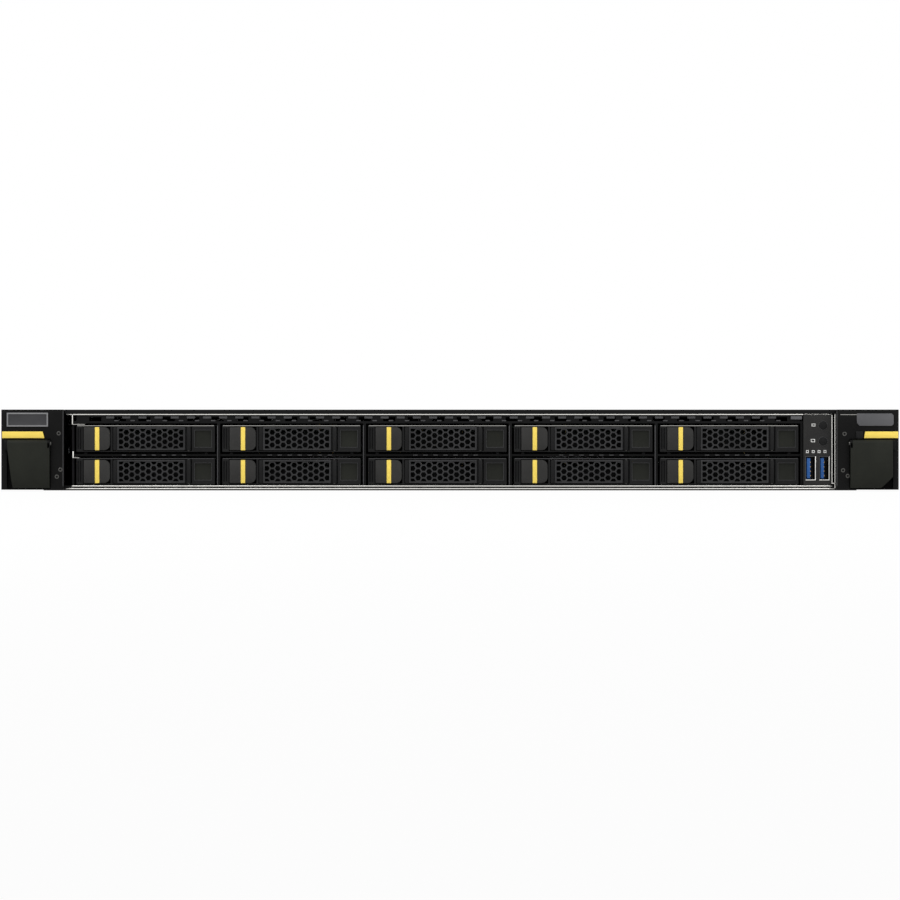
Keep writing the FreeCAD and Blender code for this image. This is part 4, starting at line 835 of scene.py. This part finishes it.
def grille(x0, x1, z0, z1, front):
    """Rings of hexagons in staggered columns, cut off at the rim and given a thickness."""
    pitch, thick, rows, overlap = setting("cell_pitch"), 1.4, 5, 0.2
    side = pitch / math.sqrt(3)
    pairs = int((x1 - x0) / (3 * side)) + 2
    first = (x0 + x1) / 2 - (pairs - 0.5) * 1.5 * side, front, (z0 + z1) / 2 - (rows - 1) / 2 * pitch
    rest()
    bpy.ops.mesh.primitive_circle_add(vertices=6, radius=side * MM, fill_type="NGON", location=metres(first),
                                      rotation=(math.pi / 2, math.pi / 6, 0))
    cell = started("grille")
    pick_all(cell)
    bpy.ops.mesh.inset(thickness=setting("cell_web") / 2 * MM)
    bpy.ops.mesh.delete(type="FACE")
    repeated(cell, rows, (0, 0, pitch))
    pick_all(cell)
    bpy.ops.mesh.duplicate_move(TRANSFORM_OT_translate={"value": metres((1.5 * side, 0, pitch / 2))})
    repeated(cell, pairs, (3 * side, 0, 0))
    pick_all(cell)
    bpy.ops.mesh.remove_doubles(threshold=0.00002)
    for axis, position, beyond in ((X, x0 - overlap, -1), (X, x1 + overlap, 1),
                                   (Z, z0 - overlap, -1), (Z, z1 + overlap, 1)):
        cut_across(cell, axis, position, beyond)
    pick_all(cell)
    bpy.ops.mesh.normals_make_consistent(inside=False)
    modified(cell, "SOLIDIFY", thickness=thick * MM, offset=0.0)
    pick_all(cell)
    moved((0, thick / 2, 0))
    pick_all(cell)
    bpy.ops.mesh.normals_make_consistent(inside=False)
    rest()
    return cell


class SERVER_OT_levers(bpy.types.Operator):
    """Pull levers: a rim round a grille of hexagons, on a hinge barrel"""

    bl_idname = "server.levers"
    bl_label = "Grille levers"

    def execute(self, context):
        spread(lever(), ["tray_lever_%d" % k for k in TRAYS], "_grille")
        return {"FINISHED"}


class SERVER_OT_buttons(bpy.types.Operator):
    """Release buttons with rounded right ends and their stripes"""

    bl_idname = "server.buttons"
    bl_label = "Release buttons"

    def execute(self, context):
        nodes = ["tray_latch_%d" % k for k in TRAYS]
        low, high = box(nodes[0])
        front = low.y + 0.4
        button = brick("button", (low.x + setting("groove_strip"), front, low.z), high)
        bevelled(button, Y, {X: high.x}, setting("button_end"), 8)
        hollowed(button, Y, 1, 1.2, high.y - front - 1.6)
        coated(softened(button, setting("soft_edge")), "button_moulding")
        spread(button, nodes, "_button")
        stripe = bar("stripe", (low.x + 8.1, low.y, low.z), (low.x + 10.5, front + 0.5, high.z), 0.25)
        coated(stripe, "stripe_moulding")
        spread(stripe, nodes, "_stripe", stands_for=False)
        return {"FINISHED"}


# ------------------------------------------------------------------ ears
def ear_shell(low, high, front, inner):
    """Left moulding: a hollow front block with a leg back to the flange and a bay for the grip."""
    grip = box("ear_latch_left")
    slab_back, leg = front + 5.8, low.x + 20.1
    piece = brick("ear_shell_left", (low.x, front, low.z), (-inner, slab_back, high.z))
    cut_across(piece, X, leg)
    pick_faces(piece, lambda m, n: n.y > FACING and m.x < leg)
    extruded((0, high.y - slab_back, 0))
    hollowed(piece, Y, 1, 2.0, high.y - slab_back, beyond=high.y - 1)
    pocketed(piece, (grip[0].x + 0.6, front - 1, low.z + 0.5), (grip[1].x - 0.6, front + 1, grip[1].z + 0.3), 4.2)
    bevelled(piece, Z, {X: low.x, Y: front}, 1.5, 3)
    pieces = [coated(softened(piece, setting("soft_edge")), "black_moulding")]
    for x in (grip[0].x + 0.6, grip[1].x - 0.9):
        lug = brick("ear_lug", (x - 1.2, low.y, grip[1].z - 6.0), (x + 0.3, front + 1, grip[1].z))
        bevelled(lug, X, {Y: low.y}, 1.6, 4)
        pieces.append(coated(softened(lug, 0.1), "black_moulding"))
    return merged(pieces, "ear_shell_left")


def ear_grip(node, sign, wide, tall):
    """Flip lever: a hollow moulding, round at its hinge, with a lower facet and a corner cut along a slope."""
    low, high = box(node)
    stub = 0.9
    x0, x1 = low.x + stub, high.x - stub
    piece = brick(node + "_grip", (x0, low.y, low.z), (x1, high.y, high.z))
    bevelled(piece, X, {Z: high.z}, 1.9, 5)
    cut_across(piece, Z, low.z + 4.6)
    pick_edges(piece, X, {Y: low.y, Z: low.z})
    moved((0, 2.4, 0))
    pick_all(piece)
    corner, slope = (x0 if sign > 0 else x1) + sign * wide, Vector(metres((-sign * tall, 0, -wide))).normalized()
    bpy.ops.mesh.bisect(plane_co=metres((corner, 0, low.z)), plane_no=slope, clear_outer=True, use_fill=True)
    hollowed(piece, Y, 1, 1.6, 2.2)
    coated(softened(piece, 0.45, 3), "grip_moulding")
    pin = disc("grip_pin", ((low.x + high.x) / 2, low.y + 2.0, high.z - 2.0), 1.05, high.x - low.x, X, 16)
    coated(softened(pin, 0.1), "screw_black")
    placed(merged([piece, pin], node + "_grip"), node)


EAR_SCREWS = (  # distance from the inner side of an ear, negative on the left one, and height
    (-2.5, 30.3), (-1.6, 10.8), (-3.5, 7.0), (4.2, 30.0), (3.4, 10.4), (6.0, 7.4),
)


class SERVER_OT_ears(bpy.types.Operator):
    """Ear mouldings, flip levers, stripes, blank name plates and brackets"""

    bl_idname = "server.ears"
    bl_label = "Rack ears"

    def execute(self, context):
        self.low, high = box("ear_housings")
        self.front = self.low.y + 3.0
        inner = -box("ear_brackets")[0].x - 33.5
        shell = ear_shell(self.low, high, self.front, inner)
        placed(shell, "ear_housings")
        self.plastic(flipped(shell, "ear_shell_right"))
        self.stripes()
        self.plates(self.low.z + 33.9, self.low.z + 41.4)
        self.rims(high, inner)
        for k, (x, z) in enumerate(EAR_SCREWS, 1):
            place = (x + math.copysign(inner, x), self.front, self.low.z + z)
            screw = hollowed(disc("ear_screw_%d" % k, place, 1.15, 0.5, Y), Y, -1, 0.55, 0.35)
            added(softened(screw, 0.08), "ear_housings", "steel", "screw_black")
        grip = box("ear_latch_left")
        ear_grip("ear_latch_left", 1, 2.8, grip[1].z - grip[0].z - 4.0)
        ear_grip("ear_latch_right", -1, 6.0, 6.0)
        dressed("ear_brackets", "black_paint", "black_coat")
        return {"FINISHED"}

    def plastic(self, piece, *names):
        added(piece, "ear_housings", "black_plastic", *names)

    def stripes(self):
        """A raised stripe on each ear, whose inner end leans, and a knob beside the right one."""
        z0, z1 = self.low.z + 27.7, self.low.z + 31.3
        left, right = self.low.x + 0.6, -self.low.x - 0.4
        for name, x0, x1, end, lean in (("left", left, left + 22.8, left + 22.8, -1.0),
                                        ("right", right - 18.4, right, right - 18.4, 0.6)):
            piece = brick("ear_stripe_" + name, (x0, self.front - 0.75, z0), (x1, self.front + 1, z1))
            pick_edges(piece, Y, {X: end, Z: z1})
            moved((lean, 0, 0))
            self.plastic(softened(piece, 0.2), "stripe_moulding")
        detail("ear_housings", "black_plastic", "tray_moulding", "ear_knob",
               (right - 22.8, self.front - 0.8, z0 - 0.4), (right - 18.9, self.front + 1, z1 + 0.2), 0.5)

    def plates(self, z0, z1):
        """The framed plate on the left and the plain plate with cut corners on the right."""
        rim, left, right = 0.8, self.low.x + 3.1, -self.low.x - 2.9
        proud, back = self.front - 0.6, self.front + 1
        plate = brick("ear_plate_left", (left, proud, z0), (left + 22.2, back, z1))
        pocketed(plate, (left + rim, self.front - 1, z0 + rim), (left + 22.2 - rim, self.front, z1 - rim), 0.3)
        coated(softened(plate, 0.08), "plate_edge", "plate_inset", choose=lambda m, n: m.y > self.front - 0.5)
        self.plastic(plate)
        z0, z1, end = z0 + 0.4, z1 - 0.4, right - 19.8
        plate = brick("ear_plate_right", (end, proud, z0), (right, back, z1))
        bevelled(plate, Y, {X: end, Z: z0}, 1.5)
        bevelled(plate, Y, {X: right}, 1.0)
        self.plastic(softened(plate, 0.2), "plate_moulding")

    def rims(self, high, inner):
        """Painted highlights: lighter strips along the edges of the mouldings beside the chassis."""
        thin, bottom, top = setting("thin_line"), self.low.z + 2, high.z - 1
        for name, coat, x0, x1, z0, z1 in (("left", "rib_coat", -inner - thin, -inner, bottom, top),
                                           ("right", "rib_coat", inner, inner + thin, bottom, top),
                                           ("top", "worn_edge", inner + 2, inner + 11, high.z - 2.9, high.z - 2.6)):
            detail("ear_housings", "steel", coat, "ear_rim_" + name, (x0, self.front - 0.02, z0),
                   (x1, self.front + 1, z1))


# ------------------------------------------------------------------ chassis
def on_cage(finish_name, slot, name, low, high, edge=0.1, rows=()):
    """A detail of the drive cage."""
    return detail("drive_cage", slot, finish_name, name, low, high, edge, rows)


class SERVER_OT_chassis(bpy.types.Operator):
    """Chassis tray, covers, cage and the edges and ribs on its front"""

    bl_idname = "server.chassis"
    bl_label = "Chassis and covers"

    def execute(self, context):
        front = front_plane()
        self.tray(front)
        self.covers(front + 2.2)
        dressed("drive_cage", "black_paint", "black_coat")
        self.steel_edges(front)
        self.vent_strip(front + 0.4)
        self.ribs(front)
        dressed("screws", "steel", "screw_steel", edge=setting("folded_edge"))
        return {"FINISHED"}

    def tray(self, front):
        """Zinc tray: the hem, the walls beside the drives and the inside of the rear wall are black; on the walls
        beside the drives the black is painted shade.
        """
        high = box("chassis_base")[1]
        wall, hem_end, painted_shade_end = 0.4, front + 2.2, front + 170.0
        piece = casting("chassis_base", "chassis_base_skin")
        cut_across(piece, Y, painted_shade_end)

        def choose(m, n):
            beside = m.y < painted_shade_end and abs(m.x) < high.x - wall and m.z > wall
            return (m.y < hem_end and n.y < 0.5) or beside or (n.y < -0.5 and m.y > high.y - 5)

        coated(softened(piece), "zinc_sheet", "black_coat", choose=choose)
        placed(piece, "chassis_base")

    def covers(self, lip_end):
        """Zinc lids; the lip and the underside of the front one are black."""
        seam = box("front_cover")[1].z - 0.5
        dressed("front_cover", "galvanised_steel", "zinc_sheet", "black_coat",
                choose=lambda m, n: m.z < seam or (m.y < lip_end and n.z < 0.5))
        dressed("rear_cover", "galvanised_steel", "zinc_sheet")
        dressed("cover_latch", "grey_plastic", "button_moulding", edge=0.3)

    def steel_edges(self, front):
        """Bare edges of the sheets that frame the trays and the control panel."""
        t, hem, floor = setting("bright_line"), 2.6, 0.7
        side, panel, cover = box("drive_cage")[0].x, box("control_panel")[1].x, box("front_cover")[1]
        wall, lip = cover.x - 11.2, cover.z - 2.25
        low, high = box("tray_1")
        for name, coat, x0, x1, z0, z1 in (
            ("top", "bare_steel", 1 - wall, panel + 0.3, lip - t, lip),
            ("floor", "bare_steel", 1 - wall, wall - 0.5, floor, floor + 0.8 * t),
            ("hem", "bare_steel", side, wall - 2.0, hem - 0.8 * t, hem),
            ("left_post", "bare_steel", side, side + 0.9 * t, high.z + 0.7, lip),
            ("left_foot", "worn_edge", side, side + 7.0, high.z + 0.35, high.z + 0.75),
            ("left_hook", "bare_steel", side + 0.3, side + 1.0, low.z - 3.2, low.z + 0.3),
            ("left_hook_foot", "worn_edge", side + 1.0, side + 4.0, low.z - 3.3, low.z - 2.9),
            ("panel_side", "bare_steel", panel + 0.15, panel + 0.7, 4.0, lip - 0.6),
            ("wall_side", "bare_steel", wall - 0.6, wall - 0.05, 1.2, lip),
            ("panel_foot", "bare_steel", panel + 0.15, wall - 0.05, 3.6, 4.0),
        ):
            on_cage(coat, "steel", "edge_" + name, (x0, front - 0.1, z0), (x1, front + 0.8, z1), 0.08)

    def vent_strip(self, y):
        """Two staggered rows of ribs above the trays, in a lighter grey that is painted highlight, and the tab beside
        the control panel.
        """
        low, high = box("tray_1")
        panel = box("control_panel")[0].x
        start, pitch, width = low.x + 16, setting("tab_pitch"), setting("tab_width")
        count = int((panel - 10 - start) / pitch)
        for k, x, wide, z0, z1 in ((1, start, width, 3.7, 4.9), (2, start + 0.5 * pitch, 0.55 * width, 2.2, 2.9)):
            on_cage("rib_coat", "black_paint", "vent_ribs_%d" % k, (x, y, high.z + z0),
                    (x + wide, y + 0.9, high.z + z1), rows=[(count, (pitch, 0, 0))])
        on_cage("plate_moulding", "black_paint", "panel_tab", (panel - 6.8, y - 0.6, high.z + 3.2),
                (panel - 0.8, y + 1, high.z + 5.0), 0.15)

    def ribs(self, front):
        """Seven short ribs on the edge of the middle shelf under each lever, and the edges of the dividers, all in a
        lighter grey that is painted highlight.
        """
        y, top = front + 1.4, box("tray_1")[1].z
        for k in TRAYS[:5]:
            x, z = box("tray_lever_%d" % k)[0].x + 4.5, box("tray_%d" % k)[0].z - 2.0
            on_cage("rib_coat", "black_paint", "shelf_ribs_%d" % k, (x, y, z), (x + 2.4, y + 0.9, z + 0.6),
                    rows=[(7, (setting("dash_pitch"), 0, 0))])
        for k in TRAYS[:4]:
            x = box("tray_%d" % k)[1].x + 1.2
            on_cage("rib_coat", "black_paint", "divider_%d" % k, (x, front + 0.5, 3.0), (x + 0.5, front + 1.5, top))


# ------------------------------------------------------------------ control panel
MARKS = (  # name, share of the panel's width, height of the middle, half width, height
    ("row_1", 0.14, 20.9, 0.75, 1.5), ("row_2", 0.35, 20.9, 0.75, 1.5),
    ("row_3", 0.56, 20.9, 0.75, 1.5), ("row_4", 0.77, 20.9, 0.75, 1.5),
    ("upper", 0.36, 35.2, 1.0, 1.5), ("middle", 0.34, 26.8, 1.1, 1.7),
)


def usb_port(x, low, high):
    """A bent steel shell, a blue tongue nearer the left side and a row of contacts."""
    wide, wall = 5.7, 0.4

    def choose(m, n):
        """Painted shade inside; the front edge is bright steel on the right and below, and grey on the left and above
        as painted shade.
        """
        inside = x + 0.1 < m.x < x + wide - 0.1 and low.z + 0.1 < m.z < high.z - 0.1
        if inside and m.y > low.y + 1:
            return 1
        return 2 if m.x < x + 1.2 * wall or m.z > high.z - 1.2 * wall else 0

    shell = hollowed(brick("usb_shell", (x, low.y, low.z), (x + wide, high.y, high.z)), Y, -1, wall, 12.0)
    coated(softened(shell, 0.12), "bare_steel", "chip_black", "rib_coat", choose=choose)
    tongue = bar("usb_tongue", (x + wall + 0.5, low.y + 0.9, low.z + 1), (x + wall + 2.4, low.y + 11.5, high.z - 1),
                 0.15)
    pad = bar("usb_contact", (x + wall + 2.35, low.y + 1.2, low.z + 2.2), (x + wall + 2.55, low.y + 7.0, low.z + 2.9))
    return [shell, coated(tongue, "usb_tongue"), coated(repeated(pad, 4, (0, 0, 2.4)), "gold_contact")]


class SERVER_OT_panel(bpy.types.Operator):
    """Control panel, its buttons, plain marks and USB ports"""

    bl_idname = "server.panel"
    bl_label = "Control panel"

    def execute(self, context):
        low, high = box("control_panel")
        dressed("control_panel", "black_plastic", "panel_moulding")
        for node in ("power_button", "locator_button"):
            dressed(node, "black_plastic", "tray_moulding", edge=0.15)
            start, end = box(node)
            # A ring in the lighter grey round each button: a painted highlight
            collar = ring(node + "_ring", ((start.x + end.x) / 2, low.y, (start.z + end.z) / 2), 2.35, 0.3, 32)
            added(collar, "control_panel", "black_plastic", "rib_coat")
        for name, share, z, half, tall in MARKS:
            self.mark("mark_" + name, low.x + share * (high.x - low.x), low.y, z, half, tall / 2)
        low, high = box("usb_ports")
        pieces = usb_port(low.x, low, high) + usb_port(low.x + 7.4, low, high)
        placed(merged(pieces, "usb_ports_detailed"), "usb_ports")
        return {"FINISHED"}

    def mark(self, name, x, y, z, half, rise):
        """A small printed frame in the place of a lamp or a symbol."""
        piece = framed(name, (x - half, y - 0.04, z - rise), (x + half, y + 0.1, z + rise), 0.35)
        added(softened(piece), "control_panel", "black_plastic", "panel_mark")


# ------------------------------------------------------------------ inside
def in_twos(piece, slot, finish_name):
    """The same parts in front of both processors."""
    coated(piece, finish_name)
    added(twin(piece, piece.name + "_2", (148.0, 0, 0)), "mainboard", slot)
    added(piece, "mainboard", slot)


class SERVER_OT_inside(bpy.types.Operator):
    """Fans, boards, heatsinks and memory modules with their small parts"""

    bl_idname = "server.inside"
    bl_label = "Inside"

    def execute(self, context):
        self.front = front_plane()
        self.top = box("mainboard")[0].z + 1.6
        plugs = box("backplane")[1].y - 1.7
        dressed("mainboard", "circuit_board", "board_green", "chip_black", choose=lambda m, n: m.z > self.top + TIGHT)
        dressed("cpu_heatsinks", "aluminium", "aluminium_fin")
        dressed("memory_modules", "circuit_board", "board_green")
        dressed("backplane", "circuit_board", "board_green", "chip_black", choose=lambda m, n: m.y < plugs)
        self.fans()
        self.memory()
        self.board_parts()
        return {"FINISHED"}

    def block(self, name, place, size, edge):
        """A small block on the mainboard; its place is from the front plane and the board's top."""
        low = [a + b for a, b in zip(place, (0, self.front, self.top))]
        return bar(name, low, [a + b for a, b in zip(low, size)], edge)

    def fans(self):
        """Fan frames with corner screws and a plain disc on each hub."""
        dressed("fan_frames", "black_plastic", "fan_moulding", edge=0.4)
        low, high = box("fan_frames")
        middle, corner = low.x + 20.0, 16.4
        screws = []
        for side, rise in ((-1, -1), (-1, 1), (1, -1), (1, 1)):
            place = (middle + side * corner, low.y, (low.z + high.z) / 2 + rise * corner)
            screws.append(softened(disc("fan_screw", place, 1.9, 0.6, Y), 0.15))
        row = coated(merged(screws, "fan_screws"), "screw_steel")
        added(repeated(row, len(FANS), (68.0, 0, 0)), "fan_frames", "steel")
        for k in FANS:
            rotor = "fan_rotor_%d" % k
            dressed(rotor, "black_plastic", "fan_moulding", edge=0.15)
            low, high = box(rotor)
            centre = ((low.x + high.x) / 2, low.y - 0.05, (low.z + high.z) / 2)
            cap = softened(disc(rotor + "_cap", centre, 5.8, 0.2, Y, 32), 0.05)
            added(cap, rotor, "black_plastic", "plate_moulding")

    def memory(self):
        """Rows of chips on the modules and a latch at each end of their sockets."""
        chip = self.block("memory_chips", (-143.45, 306.0, 7.5), (3.7, 10.0, 13.0), 0.0)
        latch = self.block("memory_latches", (-143.9, 294.6, 1.0), (4.6, 4.6, 9.0), 0.6)
        for piece, count, step, slot, coat in ((chip, 9, 13.6, "black_plastic", "chip_black"),
                                               (latch, 2, 139.7, "grey_plastic", "socket_ivory")):
            repeated(piece, count, (0, step, 0))
            coated(repeated(piece, 4, (8.0, 0, 0)), coat)
            for k, x in enumerate((0.0, 113.6, 145.6, 259.2)):
                copy = twin(piece, piece.name + "_%d" % k, (x, 0, 0)) if k else piece
                added(copy, "memory_modules", slot)

    def board_parts(self):
        """Capacitors, coils, chip lids and small resistors."""
        can = softened(disc("capacitors", (-105.0, self.front + 304.0, self.top + 3.5), 2.9, 7.0, Z), 0.4)
        hollowed(can, Z, 1, 0.5, 0.25)
        in_twos(repeated(can, 9, (8.0, 0, 0)), "aluminium", "aluminium_fin")
        coil = self.block("coils", (-110.0, 427.0, 0.0), (7.0, 7.0, 6.0), 0.8)
        in_twos(repeated(coil, 8, (9.2, 0, 0)), "black_plastic", "chip_black")
        small = repeated(self.block("resistors", (-108.0, 445.0, 0.0), (1.6, 0.8, 0.6), 0.0), 18, (4.0, 0, 0))
        in_twos(repeated(small, 5, (1.3, 3.4, 0)), "grey_plastic", "socket_ivory")
        for k, place in enumerate(((-143.0, 488.4, 3.0), (-65.0, 540.4, 3.0), (13.0, 592.4, 6.0)), 1):
            added(self.block("chip_lid_%d" % k, place, (20.0, 20.0, 0.5), 0.15), "mainboard", "steel", "plate_edge")


# ------------------------------------------------------------------ rear
class SERVER_OT_rear(bpy.types.Operator):
    """Rear connectors with their contacts and lamps, and the power supplies"""

    bl_idname = "server.rear"
    bl_label = "Rear"

    def execute(self, context):
        self.back = box("chassis_base")[1].y
        low = box("rear_io")[0]
        left = low.x + 1.7
        self.connectors(left, low.z)
        self.jack_parts(left, low.z)
        self.display_parts(left + 106.5, low.z + 6.2)
        self.screens(low)
        for k in SUPPLIES:
            self.supply("power_supply_%d" % k)
            dressed("power_supply_tab_%d" % k, "grey_plastic", "stripe_moulding", edge=0.25)
        return {"FINISHED"}

    def connectors(self, left, bottom):
        """Steel shells, dark mouths, blue tongues and zinc blanks."""
        back, mouth_low, mouth_high, blanks = self.back, bottom + 2.1, bottom + 10.9, bottom + 15.0

        def choose(m, n):
            x, depth = m.x - left, back - m.y
            if m.z > blanks:
                return 1
            if x < 51 and 1.75 < x % 17.6 < 13.75 and mouth_low < m.z < mouth_high and -0.5 < depth < 12:
                return 2
            usb = 56 < x < 86 and -TIGHT < depth < 11
            tongue = mouth_low + 0.9 < m.z < mouth_low + 3.1
            return 3 if usb and tongue and n.y > -0.5 and abs(n.x) < 0.5 else 0

        dressed("rear_io", "steel", "bare_steel", "zinc_sheet", "chip_black", "usb_tongue", choose=choose)

    def jack_parts(self, left, bottom):
        """Eight sprung contacts in each jack and two lamps over its mouth."""
        jacks = (3, (17.6, 0, 0))
        detail("rear_io", "steel", "gold_contact", "jack_contacts", (left + 3.9, self.back - 9.0, bottom + 9.6),
               (left + 4.4, self.back - 1.5, bottom + 10.0), rows=[(8, (1.05, 0, 0)), jacks])
        for coat, x in (("status_green", left + 2.4), ("status_amber", left + 10.4)):
            detail("rear_io", "grey_plastic", coat, "jack_lamp_" + coat, (x, self.back, bottom + 11.3),
                   (x + 2.8, self.back + 0.75, bottom + 12.8), 0.2, [jacks])

    def display_parts(self, x, z):
        """Insert of the display connector with three rows of five holes."""
        wide, tall, face = 7.0, 3.2, self.back + 3.6
        detail("rear_io", "grey_plastic", "usb_tongue", "display_insert", (x - wide, self.back - 1, z - tall),
               (x + wide, face, z + tall), 0.6)
        hole = repeated(disc("display_holes", (x - 5.0, face, z - 2.0), 0.45, 0.1, Y, 10), 5, (2.5, 0, 0))
        added(repeated(hole, 3, (0, 0, 2.0)), "rear_io", "grey_plastic", "chip_black")

    def screens(self, connectors):
        """Fine mesh inside the vents of the rear wall and of the slot blanks, a gasket and a shroud."""
        inner, top = self.back - 1.5, CAD_BOX[1].z / MM
        wide = box("chassis_base")[1].x - 1.3
        for name, slot, coat, x0, x1, y0, y1, z0, z1 in (
            ("vent_screen_rear", "steel", "vent_mesh", -70.0, 62.0, inner - 0.4, inner, 6.9, 21.5),
            ("vent_screen_blanks", "steel", "vent_mesh", -202.0, -33.5, inner - 0.4, inner, 24.5, 37.5),
            ("rear_gasket", "black_plastic", "black_moulding", -wide, wide, inner - 1.5, inner, top - 2.5, top - 0.85),
            ("rear_shroud", "black_plastic", "black_moulding", connectors.x, -78.0, inner - 21.7, inner - 21.2,
             connectors.z, 21.5),
        ):
            detail("chassis_base", slot, coat, name, (x0, y0, z0), (x1, y1, z1))

    def supply(self, node):
        """Zinc case, dark fan well under a wire guard, dark inlet with bright pins, and a lamp."""
        low, high = box(node)
        middle, fan, inlet, back = (low.z + high.z) / 2, low.x + 21.5, low.x + 56.2, self.back

        def choose(m, n):
            depth, off_inlet, off_fan, off_middle = back - m.y, abs(m.x - inlet), abs(m.x - fan), abs(m.z - middle)
            if depth < -0.1 or m.y < low.y + 0.1:
                return 1
            if off_inlet < 12.2 and 1.9 < depth < 15.9 and off_middle < 5.0:
                return 2
            well = off_fan < 17.2 and depth < 4.1 and off_middle < 17.2
            return well or (off_inlet < 12.4 and off_middle < 8.5 and TIGHT < depth < 16.1)

        dressed(node, "galvanised_steel", "zinc_sheet", "black_moulding", "bare_steel", choose=choose)
        rings = [ring("guard", (fan, back + 0.1, middle), radius, setting("guard_wire"))
                 for radius in (7.0, 10.2, 13.4, 16.6)]
        added(merged(rings, node + "_guard"), node, "steel", "bare_steel")
        wide, tall = 12.2, 8.3
        surround = framed(node + "_inlet", (inlet - wide, back - 2, middle - tall),
                          (inlet + wide, back + 0.5, middle + tall), 0.9)
        added(softened(surround, 0.3), node, "black_plastic", "black_moulding")
        lamp = disc(node + "_lamp", (low.x + 40.8, back, middle + 14.0), 1.2, 0.8, Y)
        added(softened(lamp, 0.2), node, "grey_plastic", "status_green")


# ------------------------------------------------------------------ add-on
STEPS = (SERVER_OT_stage, SERVER_OT_trays, SERVER_OT_levers, SERVER_OT_buttons, SERVER_OT_ears,
         SERVER_OT_chassis, SERVER_OT_panel, SERVER_OT_inside, SERVER_OT_rear)


class SERVER_PT_tools(bpy.types.Panel):
    """Buttons and settings in the sidebar"""

    bl_label = "Server"
    bl_idname = "SERVER_PT_tools"
    bl_space_type = "VIEW_3D"
    bl_region_type = "UI"
    bl_category = "Server"

    def draw(self, context):
        for step in STEPS:
            self.layout.operator(step.bl_idname)
        for group in (context.scene.server_sizes, context.scene.server_colours):
            for key in group.__annotations__:
                self.layout.prop(group, key)


CLASSES = (ServerSizes, ServerColours, *STEPS, SERVER_PT_tools)


def register():
    for one in CLASSES:
        bpy.utils.register_class(one)
    bpy.types.Scene.server_sizes = bpy.props.PointerProperty(type=ServerSizes)
    bpy.types.Scene.server_colours = bpy.props.PointerProperty(type=ServerColours)


def unregister():
    del bpy.types.Scene.server_colours
    del bpy.types.Scene.server_sizes
    for one in reversed(CLASSES):
        bpy.utils.unregister_class(one)


def main():
    register()
    for step in STEPS:
        group, name = step.bl_idname.split(".")
        getattr(getattr(bpy.ops, group), name)()


if __name__ == "__main__":
    main()
